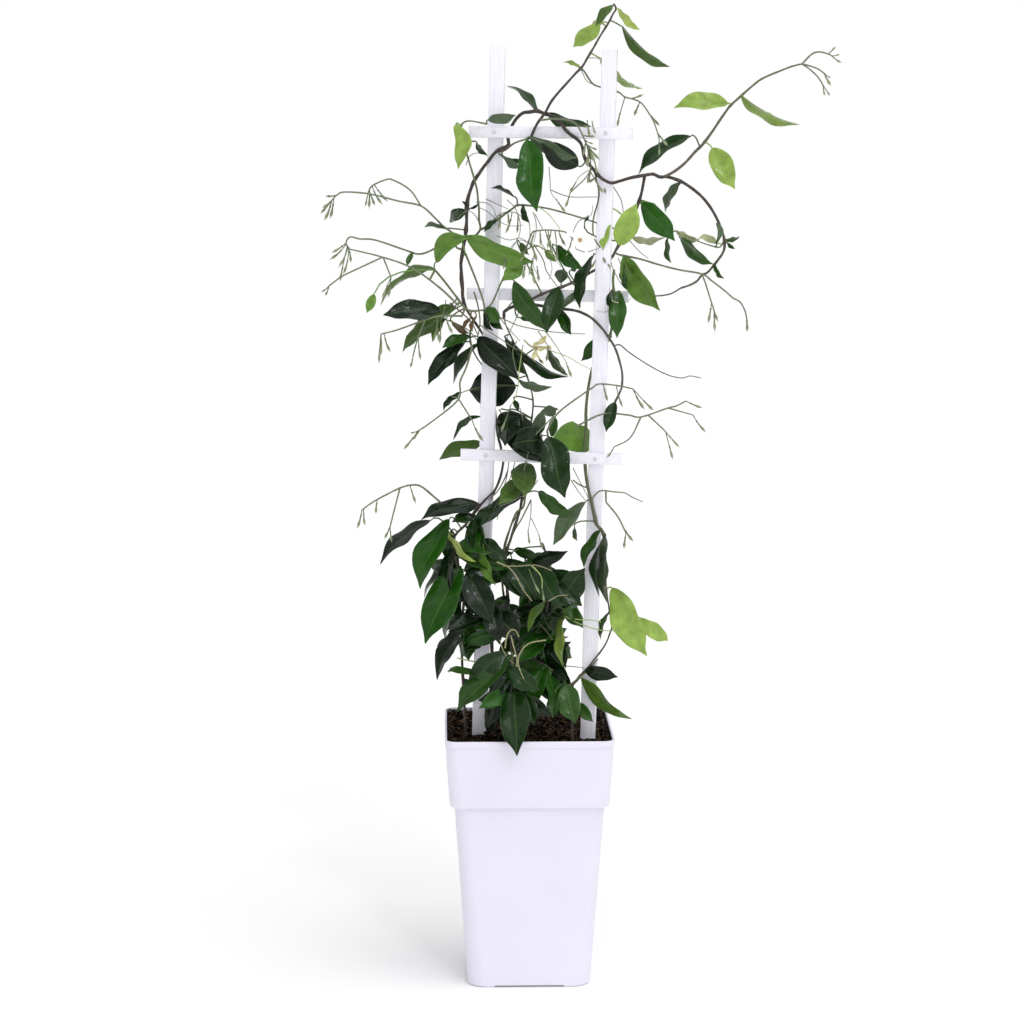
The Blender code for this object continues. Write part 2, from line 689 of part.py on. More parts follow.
SHOOTS = {
    "twiner_left": {
        "stems": [
            (2.6, 2.0, [
                (-33, 222, 20), (-33, 250, 20), (-34, 288, 20), (-36, 328, 19), (-37, 368, 19),
                (-41, 403, 20), (-49, 438, 19), (-55, 468, 12), (-50, 480, 2), (-43, 488, 0),
                (-33, 498, -1), (-28, 511, 1), (-25, 525, 7), (-27, 540, 13), (-31, 556, 19),
                (-33, 578, 19), (-36, 609, 19), (-39, 640, 19), (-48, 658, 18), (-58, 673, 13),
                (-64, 685, 8), (-66, 703, 6), (-67, 723, 4), (-65, 738, 2), (-62, 758, 2),
                (-61, 783, 2), (-59, 793, 2), (-55, 805, 2), (-48, 816, 1), (-41, 825, 0),
                (-34, 834, -1), (-28, 839, -1), (-20, 843, 3), (-20, 850, 8), (-18, 858, 8),
                (-15, 864, 5), (-11, 870, 3), (-5, 875, 1), (2, 876, 0), (9, 877, -1),
                (15, 875, -3), (21, 873, -5), (27, 870, -10), (32, 866, -15), (37, 859, -19),
                (42, 854, -19), (50, 848, -19), (54, 842, -19), (56, 832, -19), (60, 825, -19),
                (66, 818, -20), (72, 811, -21), (78, 807, -23), (84, 805, -22), (92, 807, -17),
                (102, 810, -12), (112, 812, -10), (124, 814, -10),
            ]),
            (1.3, 0.9, [(-29, 837, -1), (-23, 838, -6), (-15, 844, -14), (-8, 847, -15), (-1, 849, -15)]),
            (1.0, 0.8, [
                (66, 818, -20), (69, 806, -21), (71, 796, -20), (70, 786, -19), (67, 776, -17),
                (65, 766, -16), (65, 756, -17), (67, 748, -18), (72, 741, -20),
            ]),
        ],
        "leaves": [
            (10, 876, -22, 902, 6, 30), (-28, 833, -4, 828, 5, -24), (-24, 830, -7, 820, 8, -14),
            (-1, 848, 9, 776, 30, -22), (50, 822, 13, 845, 24, -6), (2, 851, 50, 830, 15, -16),
            (19, 875, 74, 858, 15, 10), (-61, 776, -79, 767, 12, 34), (-83, 760, -104, 761, 6, -16),
            (-12, 602, -59, 598, 38, 24),
        ],
    },
    "shoot_top": {
        "stems": [
            (1.4, 0.8, [
                (3, 851, -12), (9, 864, -12), (17, 875, -10), (23, 886, -8), (30, 895, -7),
                (39, 905, -6), (48, 915, -6), (54, 921, -7), (60, 931, -8), (66, 941, -9),
                (71, 950, -10), (76, 958, -12), (81, 966, -14), (85, 974, -17), (88, 979, -19),
                (86, 984, -22),
            ]),
        ],
        "leaves": [
            (85, 983, 68, 962, 9, -12), (72, 964, 45, 941, 16, 8), (76, 966, 60, 957, 7, 20),
            (90, 979, 112, 958, 8, -10), (94, 961, 142, 921, 10, -14), (73, 929, 115, 899, 9, 30),
            (52, 921, 35, 926, 4, 10),
        ],
    },
    "shoot_upper_left": {
        "stems": [
            (1.1, 0.8, [
                (-57, 748, 6), (-48, 758, 4), (-49, 768, 3), (-49, 778, 1), (-50, 788, -2),
                (-51, 798, -3), (-54, 810, -3), (-57, 820, -2), (-60, 830, -1), (-64, 845, 0),
                (-66, 855, -1), (-67, 860, -2), (-65, 865, -2), (-58, 867, -2), (-41, 864, -3),
            ]),
            (1.2, 0.7, [
                (-48, 758, 4), (-38, 763, 1), (-31, 768, 0), (-23, 774, 0), (-16, 779, 0),
                (-8, 783, 0), (17, 780, -2), (37, 775, -4), (57, 769, -4), (72, 764, -3),
                (97, 756, -4),
            ]),
        ],
        "leaves": [
            (-40, 868, -12, 873, 11, -6), (-72, 864, -70, 819, 17, -8, -8), (-52, 846, -41, 833, 6, -18),
            (-6, 782, 1, 765, 7, -14), (-31, 769, -44, 756, 6, -10), (-14, 792, -37, 800, 4, -12),
        ],
    },
    "branch_right": {
        "stems": [
            (1.5, 0.9, [
                (138, 812, -14), (147, 817, -11), (157, 825, -4), (167, 836, 4), (175, 844, 8),
                (184, 856, 14), (192, 868, 20), (199, 878, 24), (203, 883, 26), (213, 892, 30),
                (222, 900, 34), (232, 908, 38), (242, 913, 42), (252, 917, 46), (262, 921, 50),
                (271, 923.5, 54),
            ]),
        ],
        "leaves": [
            (200, 885, 146, 880, 19, -16), (213, 892, 272, 863, 9, -12), (162, 852, 110, 813, 14, 18),
            (184, 840, 207, 799, 24, -18),
        ],
    },
    "loop_right": {
        "stems": [
            (1.7, 1.0, [
                (126.5, 813.5, -10), (132, 811, -10), (140, 811, -9), (152, 807, -7), (162, 801, -5),
                (172, 793, -3), (180, 784, 0), (187, 773, 2), (192, 762, 4), (196, 750, 5),
                (196, 738, 5), (190, 728, 4), (180, 716, 2), (174, 713, 0), (169, 707, -1),
                (162, 703, -2), (153, 700, -3),
            ]),
            (0.8, 0.6, [
                (153, 700, -3), (142, 694, -3), (127, 692, -3), (112, 693, -4), (105, 694, -4),
                (101, 698, -5),
            ]),
            (0.7, 0.5, [
                (196, 748, 5), (192, 741, 0), (184, 742, -4), (172, 746, -6), (162, 750, -6),
                (147, 757, -6),
            ]),
        ],
        "leaves": [
            (189, 745, 188, 765, 6, -30), (197, 748, 212, 751, 5, 10), (199, 745, 207, 739, 4, -8),
            (190, 745, 170, 750, 8, -20), (148, 757, 172, 748, 8, -14), (152, 750, 185, 724, 12, -22),
            (186, 724, 196, 709, 5, -10), (152, 805, 137, 775, 10, 26), (139, 750, 143, 725, 6, -14),
        ],
    },
    "shoot_centre": {
        "stems": [
            (1.5, 1.3, [
                (116, 808, -6), (113, 793, -6), (108, 778, -5), (106, 768, -5), (102, 760, -5),
                (96, 752, -5), (92, 745, -6), (88, 738, -6), (84, 731, -6), (77, 725, -5),
                (72, 721, -4), (60, 714, -4), (50, 708, -5), (34, 701, -6), (22, 697, -5),
                (12, 693, -4), (2, 688, -3),
            ]),
        ],
        "leaves": [
            (114, 785, 147, 747, 22, -20), (112, 788, 136, 775, 10, 14), (104, 751, 137, 750, 8, 14),
            (91, 743, 109, 785, 24, -20), (28, 742, 56, 718, 14, -20), (65, 733, 52, 679, 12, -20),
            (30, 701, 19, 655, 20, -20), (49, 695, 35, 679, 8, -10),
            (33, 705, 34, 719, 14, 14),
        ],
    },
    "trailing_right": {
        "stems": [
            (1.0, 0.7, [
                (92, 733, -9), (112, 729, -10), (132, 723, -10), (152, 718, -8), (174, 714, -7),
                (184, 707, -6), (197, 697, -4), (205, 690, -2), (212, 686, 0), (217, 677, 2),
                (219, 668, 3),
            ]),
            (0.8, 0.7, [(174, 714, -7), (178, 703, -8), (182, 690, -8), (186, 678, -8)]),
        ],
        "leaves": [(95, 731, 132, 677, 26, -24), (96, 726, 99, 698, 6, -20)],
        "buds": [
            (218, 672, 219, 656, 2), (186, 679, 187, 656, -2), (185, 682, 190, 666, 4),
            (184, 685, 180, 664, -4),
        ],
    },
    "climber_right": {
        "stems": [
            (2.3, 1.6, [
                (44, 222, -14), (44, 253, -14), (44, 288, -14), (44, 302, -15), (49, 308, -16),
                (54, 314, -18), (60, 320, -20), (66, 328, -21), (77, 343, -20), (82, 355, -17),
                (84, 363, -16), (81, 380, -15), (78, 403, -15), (78, 418, -18), (77, 435, -21),
                (75, 455, -21), (69, 463, -21), (66, 473, -21), (63, 488, -20), (60, 500, -19),
                (58, 513, -13), (57, 526, -9), (57, 545, -9), (58, 560, -9), (58, 578, -9),
                (60, 598, -7), (64, 618, -4), (72, 636, -4), (81, 650, -5), (84, 662, -8),
                (86, 672, -14), (86, 690, -15), (85, 708, -14), (86, 718, -13),
            ]),
            (0.9, 0.6, [
                (63, 488, -20), (72, 497, -23), (87, 496, -20), (97, 495, -16), (104, 491, -14),
                (115, 486, -12),
            ]),
            (1.0, 0.7, [(60, 500, -19), (52, 503, -17), (45, 508, -16)]),
        ],
        "leaves": [
            (92, 696, 89, 650, 19, -16), (83, 697, 82, 680, 6, -16), (83, 651, 53, 627, 14, 12),
            (57, 486, 25, 443, 16, -14), (46, 460, 49, 447, 5, -10), (72, 458, 56, 420, 11, -12),
            (77, 454, 80, 384, 12, -12), (72, 443, 71, 391, 8, -14), (84, 400, 119, 332, 30, -24),
            (112, 370, 140, 347, 17, 16), (80, 375, 72, 348, 6, -8), (53, 310, 104, 269, 14, -20),
            (57, 318, 90, 311, 16, -20),
        ],
    },
    "crossing_stem": {
        "stems": [
            (1.9, 1.2, [
                (-24, 676, 2), (-20, 679, 1), (-13, 682, 0), (-6, 684, 0), (2, 684, 0),
                (20, 681, -2), (35, 679, -4), (44, 678, -6), (52, 676, -8), (62, 671, -14),
                (70, 664, -20), (76, 657, -21), (81, 650, -20), (86, 642, -17), (90, 632, -14),
                (94, 616, -12), (94, 603, -12), (92, 596, -13), (87, 586, -16),
            ]),
            (0.8, 0.6, [
                (86, 642, -17), (92, 643, -17), (102, 635, -16), (122, 622, -14), (140, 613, -12),
                (154, 610, -10), (162, 612, -9), (173, 610, -8),
            ]),
            (0.9, 0.7, [(-24, 676, 2), (-18, 683, 0), (-10, 693, -2)]),
        ],
        "leaves": [(32, 678, 43, 653, 11, -14), (87, 586, 78, 556, 13, -14)],
    },
    "stem_middle": {
        "stems": [
            (2.4, 1.5, [
                (-16, 222, 4), (-16, 250, 4), (-14, 288, 6), (-16, 338, 6), (-20, 388, 4),
                (-23, 428, 2), (-16, 453, 0), (-8, 478, -2), (-5, 500, 1), (-3, 515, 3),
                (-1, 533, 4), (2, 558, 3), (5, 588, 3), (-3, 618, 3), (-13, 643, 4),
                (-21, 660, 6), (-24, 670, 6),
            ]),
            (1.7, 1.2, [
                (-6, 222, 10), (-6, 250, 10), (-8, 300, 10), (-12, 340, 12), (-22, 380, 9),
                (-26, 410, 4), (-24, 438, 0), (-13, 473, -6), (-4, 483, -8), (-2, 515, -11),
            ]),
            (1.1, 0.9, [(2, 558, 3), (8, 556, -6), (14, 553, -14), (20, 552, -18)]),
        ],
        "leaves": [
            (-16, 646, 0, 612, 12, -14), (-10, 608, 24, 601, 9, -14), (-23, 650, 41, 611, 12, -18),
            (24, 548, 67, 553, 32, 36), (20, 551, 37, 490, 32, -22), (13, 550, -16, 543, 30, -40),
            (-20, 576, -23, 542, 25, -34), (7, 550, 15, 579, 14, -14), (24, 551, 27, 572, 10, 10),
            (-14, 588, -9, 577, 6, -8), (-3, 525, -3, 491, 27, -40), (-10, 506, -30, 483, 20, -30),
            (10, 496, 45, 474, 15, -24), (-4, 497, -58, 448, 16, -12), (-14, 438, 11, 433, 11, -16),
            (-22, 427, 0, 426, 10, -20), (-28, 420, 4, 388, 20, -18), (-20, 392, -44, 352, 22, -14),
        ],
    },
    "shoots_left": {
        "stems": [
            (1.1, 0.9, [(-93, 718, -2), (-83, 706, -1), (-73, 693, 0), (-60, 678, 1), (-43, 678, 0)]),
            (1.0, 0.9, [(-62, 733, -3), (-58, 723, -2), (-52, 708, -1), (-46, 691, 0), (-43, 678, 0)]),
            (0.9, 0.8, [(-23, 713, -2), (-28, 703, -1), (-36, 685, 0), (-43, 678, 0)]),
        ],
        "leaves": [
            (-88, 678, -145, 673, 21, -18), (-73, 682, -126, 635, 17, 14), (-95, 720, -148, 682, 8, 20, 12),
            (-92, 726, -58, 750, 20, -10, -10), (-62, 752, 6, 726, 24, -14), (-6, 727, -25, 707, 17, -12),
            (-41, 680, -28, 664, 14, -14), (-14, 707, 19, 657, 20, -16),
        ],
    },
    "shoot_left_low": {
        "stems": [
            (1.5, 0.9, [
                (-57, 662, 6), (-58, 650, 7), (-56, 640, 12), (-51, 630, 18), (-45, 620, 20),
                (-43, 602, 20), (-43, 580, 20), (-43, 560, 20), (-46, 546, 20),
            ]),
            (0.9, 0.7, [(-43, 602, 20), (-62, 597, 12), (-76, 591, 4)]),
        ],
        "leaves": [
            (-64, 645, -100, 603, 18, -16), (-58, 652, -86, 640, 11, -20), (-51, 643, -75, 604, 9, 14),
            (-50, 651, -9, 608, 26, -20), (-68, 596, -85, 577, 7, -10), (-48, 572, -75, 548, 7, -10, 6),
            (-46, 545, -89, 528, 17, 14),
        ],
    },
    "bush_left": {
        "stems": [
            (1.9, 1.2, [
                (-62, 222, 0), (-62, 250, 0), (-64, 290, 0), (-66, 330, -4), (-66, 365, -6),
                (-64, 395, -4), (-70, 420, -2), (-75, 448, -2), (-60, 466, -4), (-50, 484, -8),
            ]),
        ],
        "leaves": [
            (-50, 485, -107, 468, 18, -18), (-98, 468, -148, 423, 14, -22), (-79, 469, -108, 399, 26, -16),
            (-67, 421, -103, 344, 33, -24), (-73, 426, -104, 390, 8, 24), (-62, 374, -81, 358, 14, -20),
            (-62, 366, -91, 308, 16, -14), (-71, 388, -81, 345, 10, 22), (-60, 418, -36, 364, 30, -18),
            (-66, 413, -50, 371, 14, -4), (-81, 456, -52, 426, 7, -14), (-47, 447, -32, 402, 11, -16),
            (-52, 472, -76, 466, 12, -30), (-62, 316, -80, 316, 5, -20), (-70, 400, -98, 428, 20, 44),
            (-66, 350, -92, 322, 18, 40),
        ],
    },
    "bush_centre": {
        "stems": [
            (2.0, 1.3, [
                (-2, 222, 22), (-2, 250, 22), (2, 288, 20), (7, 328, 12), (12, 350, 6),
                (17, 368, 0), (20, 388, -2), (22, 408, -4), (20, 428, -4), (14, 445, -6),
            ]),
            (1.2, 0.9, [(17, 368, 0), (30, 385, -8), (40, 400, -12)]),
            (1.3, 0.9, [(7, 328, 12), (18, 322, 0), (30, 313, -10), (37, 306, -19)]),
        ],
        "leaves": [
            (4, 426, 40, 437, 16, -16), (7, 418, 32, 385, 28, -24), (32, 388, 57, 420, 26, -20),
            (17, 387, 0, 356, 9, -16), (36, 376, 35, 321, 9, -22), (50, 376, 34, 376, 20, -36),
            (34, 370, 12, 370, 7, -30), (24, 353, -8, 340, 10, -22), (17, 347, -10, 326, 17, -30),
            (18, 323, 2, 277, 20, -26), (37, 304, 48, 264, 24, -22), (27, 295, 25, 270, 12, -24),
        ],
    },
    "bush_front": {
        "stems": [
            (1.6, 1.1, [
                (-12, 222, -16), (-12, 250, -16), (-12, 272, -22), (-14, 298, -30), (-16, 320, -28),
                (-16, 335, -26),
            ]),
        ],
        "leaves": [
            (-16, 333, -71, 276, 22, -14), (-22, 289, -50, 288, 19, -22), (-12, 300, -11, 232, 32, -55),
        ],
    },
    "bush_back": {
        "stems": [
            (1.8, 1.1, [
                (10, 222, 46), (10, 250, 46), (8, 300, 48), (4, 350, 50), (0, 400, 46), (-4, 440, 40),
            ]),
        ],
        "leaves": [
            (6, 330, -34, 300, 24, 30), (4, 350, 44, 330, 26, 34), (2, 372, -40, 372, 24, 26),
            (0, 395, 38, 385, 26, 30), (-1, 410, -36, 420, 22, 28), (-3, 425, 28, 430, 20, 24),
            (8, 300, 46, 292, 22, 26), (3, 360, 8, 310, 22, 50),
        ],
    },
    "spray_left_high": {
        "finish": "bud_green",
        "stems": [
            (0.9, 0.6, [
                (-70, 751, 0), (-78, 757, -2), (-85, 762, -4), (-93, 770, -8), (-107, 782, -14),
                (-130, 787, -22), (-158, 794, -30), (-183, 796, -36), (-191, 793, -38),
                (-196, 788, -40),
            ]),
            (0.7, 0.6, [
                (-107, 782, -14), (-118, 798, -6), (-135, 808, 0), (-143, 808, 3), (-156, 802, 8),
                (-160, 795, 10),
            ]),
        ],
        "buds": [
            (-196, 788, -206, 780, -6), (-195, 789, -208, 774, 4), (-196, 788, -204, 767, -4),
            (-194, 790, -198, 769, 6), (-191, 793, -203, 792, 8), (-156, 802, -145, 783, 3),
            (-153, 804, -140, 786, -5), (-158, 798, -153, 782, 6), (-160, 795, -163, 781, -4),
            (-158, 799, -159, 779, 8),
        ],
    },
    "spray_left_middle": {
        "finish": "bud_green",
        "stems": [
            (0.9, 0.6, [
                (-71, 740, -4), (-78, 748, -6), (-98, 737, 2), (-110, 734, 6), (-123, 738, 10),
                (-153, 748, 18), (-168, 749, 22), (-178, 751, 24), (-182, 745, 25), (-179, 740, 26),
            ]),
        ],
        "leaves": [(-116, 735, -121, 722, 6, -8)],
        "buds": [
            (-182, 745, -197, 735, -4), (-182, 744, -199, 728, 6), (-179, 740, -177, 725, 4),
            (-179, 741, -190, 720, -6), (-179, 740, -185, 713, 4), (-180, 742, -188, 706, 0),
        ],
    },
    "spray_left_long": {
        "finish": "bud_green",
        "stems": [
            (0.9, 0.6, [
                (-70, 683, -8), (-88, 700, -10), (-116, 720, -14), (-146, 731, -18),
                (-179, 739, -22),
            ]),
            (0.7, 0.6, [(-145, 731, -18), (-137, 711, -20)]),
            (0.7, 0.6, [(-145, 731, -18), (-173, 718, -24), (-187, 711, -28), (-199, 702, -32)]),
        ],
        "buds": [
            (-137, 711, -146, 688, -4), (-137, 711, -140, 690, 5), (-199, 702, -203, 692, 4),
            (-198, 703, -207, 696, -4),
        ],
    },
    "spray_left_low": {
        "finish": "bud_green",
        "stems": [
            (0.9, 0.6, [
                (-66, 672, -6), (-88, 672, -12), (-103, 668, -16), (-131, 658, -24), (-147, 654, -28),
            ]),
            (0.7, 0.6, [(-103, 668, -16), (-111, 647, -18), (-115, 632, -20)]),
        ],
        "buds": [
            (-147, 654, -149, 624, 4), (-146, 655, -148, 631, -6), (-143, 656, -137, 635, 6),
            (-115, 632, -118, 620, 4), (-110, 649, -107, 627, -6), (-90, 672, -88, 644, -4),
        ],
    },
    "spray_left_foot": {
        "finish": "bud_green",
        "stems": [
            (0.9, 0.6, [
                (-56, 640, -6), (-62, 620, -8), (-68, 606, -9), (-70, 588, -10), (-98, 565, -14),
                (-110, 557, -16),
            ]),
            (0.7, 0.6, [(-70, 590, -10), (-56, 568, -8)]),
        ],
        "buds": [
            (-110, 557, -125, 538, -4), (-109, 557, -118, 555, 6), (-108, 558, -115, 548, -6),
            (-56, 568, -44, 546, -4),
        ],
    },
    "spray_top": {
        "finish": "bud_green",
        "stems": [
            (0.8, 0.5, [
                (56, 917, -3), (64, 905, -3), (72, 901, -3), (90, 896, -3), (97, 891, -4),
                (112, 886, -6), (122, 873, -8), (127, 863, -8), (131, 850, -8),
            ]),
        ],
        "buds": [
            (98, 891, 89, 860, -6), (112, 886, 106, 872, 6), (120, 876, 132, 862, 8),
            (131, 850, 131, 832, 0), (129, 856, 140, 842, -6), (104, 888, 116, 894, -4),
        ],
    },
    "spray_arch": {
        "finish": "bud_green",
        "stems": [
            (0.9, 0.6, [(14, 868, -14), (27, 869, -20), (47, 865, -26), (59, 843, -28)]),
            (0.6, 0.5, [(59, 843, -28), (62, 817, -26), (42, 795, -24)]),
        ],
        "buds": [
            (56, 848, 66, 844, -4), (58, 845, 70, 838, 3), (59, 843, 72, 828, -5),
            (59, 842, 66, 826, 4), (60, 838, 59, 820, -6), (50, 860, 60, 862, 5),
            (54, 852, 68, 852, -6), (42, 795, 37, 780, -3), (62, 820, 59, 805, 4),
            (62, 817, 76, 794, -4),
        ],
    },
    "spray_centre": {
        "finish": "bud_green",
        "stems": [
            (0.7, 0.5, [
                (0, 745, -10), (4, 755, -11), (8, 757, -11), (20, 758, -12), (37, 756, -14),
                (44, 750, -15),
            ]),
        ],
        "buds": [
            (20, 758, 14, 736, -4), (24, 758, 20, 732, 5), (30, 757, 26, 730, -6), (36, 756, 32, 736, 4),
            (44, 750, 44, 736, -3), (10, 757, 6, 742, 4), (40, 754, 38, 734, 6), (4, 755, -6, 738, -4),
        ],
    },
    "spray_right_tip": {
        "finish": "bud_green",
        "stems": [
            (0.8, 0.6, [(274, 924, 56), (284, 934, 60), (292, 936, 62), (300, 934, 64), (304, 932, 64)]),
            (0.7, 0.6, [(274, 924, 56), (282, 922, 54), (290, 919, 52), (297, 914, 50)]),
            (0.7, 0.6, [(274, 924, 56), (280, 920, 60), (287, 914, 64), (292, 908, 66), (296, 901, 68)]),
        ],
        "buds": [
            (304, 932, 312, 934, 2), (303, 932, 314, 925, -5), (297, 914, 303, 910, 2),
            (296, 915, 303, 902, -5), (296, 901, 302, 892, 3), (295, 903, 297, 892, -5),
            (300, 934, 308, 942, 5),
        ],
    },
    "spray_low_bar": {
        "finish": "bud_green",
        "stems": [
            (0.8, 0.6, [
                (19, 557, -24), (26, 570, -28), (37, 581, -31), (64, 600, -28),
                (72, 604, -26), (92, 602, -22), (105, 599, -20),
            ]),
        ],
        "buds": [
            (76, 604, 80, 586, -4), (90, 602, 95, 580, 4), (104, 599, 117, 578, -4),
            (105, 599, 126, 577, 4),
        ],
    },
    "spray_right_low": {
        "finish": "bud_green",
        "stems": [
            (0.8, 0.6, [
                (49, 562, -22), (75, 574, -24), (100, 573, -22), (113, 571, -18), (140, 580, -10),
                (148, 582, -8), (158, 587, -6),
            ]),
            (0.7, 0.5, [(113, 571, -18), (102, 550, -22), (86, 541, -26)]),
            (0.7, 0.5, [(120, 573, -16), (136, 558, -14), (138, 555, -14)]),
            (0.7, 0.5, [(140, 580, -10), (165, 573, -6)]),
        ],
        "buds": [
            (158, 587, 175, 580, 4), (165, 573, 179, 555, -4), (138, 555, 145, 528, 4),
            (137, 557, 152, 540, -5), (86, 541, 78, 530, -4),
        ],
    },
    "spray_right_short": {
        "finish": "bud_green",
        "stems": [(0.8, 0.6, [(78, 486, -25), (90, 471, -24), (98, 455, -22)])],
        "buds": [(98, 455, 96, 439, 2), (96, 460, 106, 446, -4)],
    },
    "spray_left_bush": {
        "finish": "bud_green",
        "stems": [
            (0.9, 0.6, [
                (-88, 486, -4), (-106, 501, -8), (-116, 503, -12), (-128, 500, -16), (-148, 490, -24),
                (-158, 484, -28), (-166, 478, -30),
            ]),
            (0.7, 0.6, [(-128, 500, -16), (-135, 473, -18), (-138, 461, -20)]),
        ],
        "buds": [
            (-166, 478, -171, 459, -3), (-164, 479, -163, 462, 5), (-138, 461, -136, 445, 2),
            (-137, 464, -144, 449, -5), (-118, 502, -112, 484, 3), (-150, 489, -152, 474, -4),
        ],
    },
}


FLOWERS = {
    "flower_open": {
        "middle": (52, 748, -27), "foot": (47, 744, -17), "radius": 12, "lift": 2,
        "finish": "petal_white",
    },
    "flower_faded": {
        "middle": (8, 640, -14), "foot": (2, 650, -6), "radius": 10, "lift": -6,
        "finish": "petal_cream",
    },
}


def main():
    clear_scene()
    parts = new_collection("potted_star_jasmine")
    cutters = new_collection("cutters", hidden=True)
    make_pot(parts, cutters)
    ladder = make_ladder(parts, cutters)
    make_soil(parts, cutters, stake_holes(ladder) + stem_holes())
    for name, shoot in SHOOTS.items():
        make_shoot(name, shoot, parts)
    for name, flower in FLOWERS.items():
        fuse(name, flower_pieces(name, flower), flower["finish"], parts)


main()
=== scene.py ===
import math

import bpy
import numpy as np
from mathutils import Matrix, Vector


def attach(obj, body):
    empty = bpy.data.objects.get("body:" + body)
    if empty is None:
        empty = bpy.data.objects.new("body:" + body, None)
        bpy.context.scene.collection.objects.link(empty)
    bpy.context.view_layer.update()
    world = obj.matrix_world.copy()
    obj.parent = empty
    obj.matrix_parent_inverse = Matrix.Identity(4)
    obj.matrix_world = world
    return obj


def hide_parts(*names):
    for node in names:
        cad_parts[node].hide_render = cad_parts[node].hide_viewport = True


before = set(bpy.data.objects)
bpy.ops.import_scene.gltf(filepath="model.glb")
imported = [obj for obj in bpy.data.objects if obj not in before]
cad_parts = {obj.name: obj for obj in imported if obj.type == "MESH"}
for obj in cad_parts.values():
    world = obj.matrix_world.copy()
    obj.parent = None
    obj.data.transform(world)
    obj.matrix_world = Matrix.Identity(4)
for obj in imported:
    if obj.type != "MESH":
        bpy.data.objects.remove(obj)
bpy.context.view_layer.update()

mm = 0.001
chance = np.random.default_rng(41)  # every random draw, in a fixed order

# The view that the tables of places are laid out in: across from the pot's middle and up from
# its front foot in millimetres, and depth behind (+) or before (-) the ladder
view = {
    "eye": (-0.084, -2.822, 0.871),
    "aim": (-0.0165, -0.022, 0.479),
    "aimAcross": -16,
    "aimUp": 476,
    "lens": 99.43,  # mm, for the sensor below
    "sensor": 36.0,
    "farthest": 100.0,
}


# Each row divided by its length
def unit(vectors):
    return vectors / np.maximum(np.linalg.norm(vectors, axis=-1, keepdims=True), 1e-12)


# Dot product row by row, kept as a column
def along(first, second):
    return np.sum(first * second, axis=-1, keepdims=True)


# 0 below low, 1 above high, and 3 x^2 - 2 x^3 between
def ease(low, high, value):
    share = np.clip((value - low) / (high - low), 0, 1)
    return share * share * (3 - 2 * share)


# Linear red, green and blue of an sRGB hex colour
def linear(hexText):
    parts = np.array([int(hexText[place:place + 2], 16) / 255 for place in (1, 3, 5)])
    return np.where(parts <= 0.04045, parts / 12.92, ((parts + 0.055) / 1.055) ** 2.4)


# World points of (across, up, depth) places: where the ray from the eye meets that depth
def sight(places):
    places = np.asarray(places, float)
    eye, aim = np.array(view["eye"]), np.array(view["aim"])
    ahead = unit(aim - eye)
    right = unit(np.cross(ahead, (0, 0, 1)))
    above = np.cross(right, ahead)
    across, up = places[..., 0:1] - view["aimAcross"], places[..., 1:2] - view["aimUp"]
    ray = aim + mm * (right * across + above * up) - eye
    reach = (aim[1] + places[..., 2:3] * mm - eye[1]) / ray[..., 1:2]
    return eye + ray * reach


# Catmull-Rom line through the points: on each span a cubic whose ends run along the chord of
# their neighbours
def smooth(points, perSpan=5):
    points = np.asarray(points, float)
    if len(points) < 3:
        steps = np.linspace(0, 1, perSpan + 1)[:, None]
        return points[0] + (points[-1] - points[0]) * steps
    ends = np.vstack([2 * points[0] - points[1], points, 2 * points[-1] - points[-2]])
    before, here, after, beyond = ends[:-3], ends[1:-2], ends[2:-1], ends[3:]
    t = (np.arange(perSpan) / perSpan)[None, :, None]
    before, here, after, beyond = (part[:, None, :] for part in (before, here, after, beyond))
    line = 0.5 * (
        2 * here + (after - before) * t + (2 * before - 5 * here + 4 * after - beyond) * t**2
        + (3 * here - before - 3 * after + beyond) * t**3
    )
    return np.vstack([line.reshape(-1, points.shape[1]), points[-1:]])


# Meshes: a part is a dictionary of arrays, and several parts make one piece


# Points, quads and triangles, the number of their finish, blade places (uv), and red, green,
# blue and alpha for each point
def part(co, quads, tris, uv=None, tint=None, finish=0):
    count = len(co)
    return {
        "co": co, "quads": quads, "tris": tris, "finish": finish,
        "uv": np.zeros((count, 2)) if uv is None else uv,
        "tint": np.ones((count, 4)) if tint is None else tint,
    }


# The parts' points in one list, and the place in it where each part's points start
def gathered(parts):
    starts = np.cumsum([0] + [len(one["co"]) for one in parts])
    return np.vstack([one["co"] for one in parts]), starts


# Quads of a grid of points in row order, joined round at the last column if closed
def gridQuads(rows, columns, closed):
    row, column = np.meshgrid(np.arange(rows - 1), np.arange(columns if closed else columns - 1),
                              indexing="ij")
    nextColumn = (column + 1) % columns
    quads = [row * columns + column, row * columns + nextColumn, (row + 1) * columns + nextColumn,
             (row + 1) * columns + column]
    return np.stack([corner.ravel() for corner in quads], axis=1)


# Triangles that close both ends of a closed grid, to the two points that follow the grid's own
def endFans(rows, columns):
    count = rows * columns
    here = np.arange(columns)
    after = (here + 1) % columns
    top = count - columns
    first = np.stack([after, here, np.full(columns, count)], axis=1)
    last = np.stack([top + here, top + after, np.full(columns, count + 1)], axis=1)
    return np.vstack([first, last])


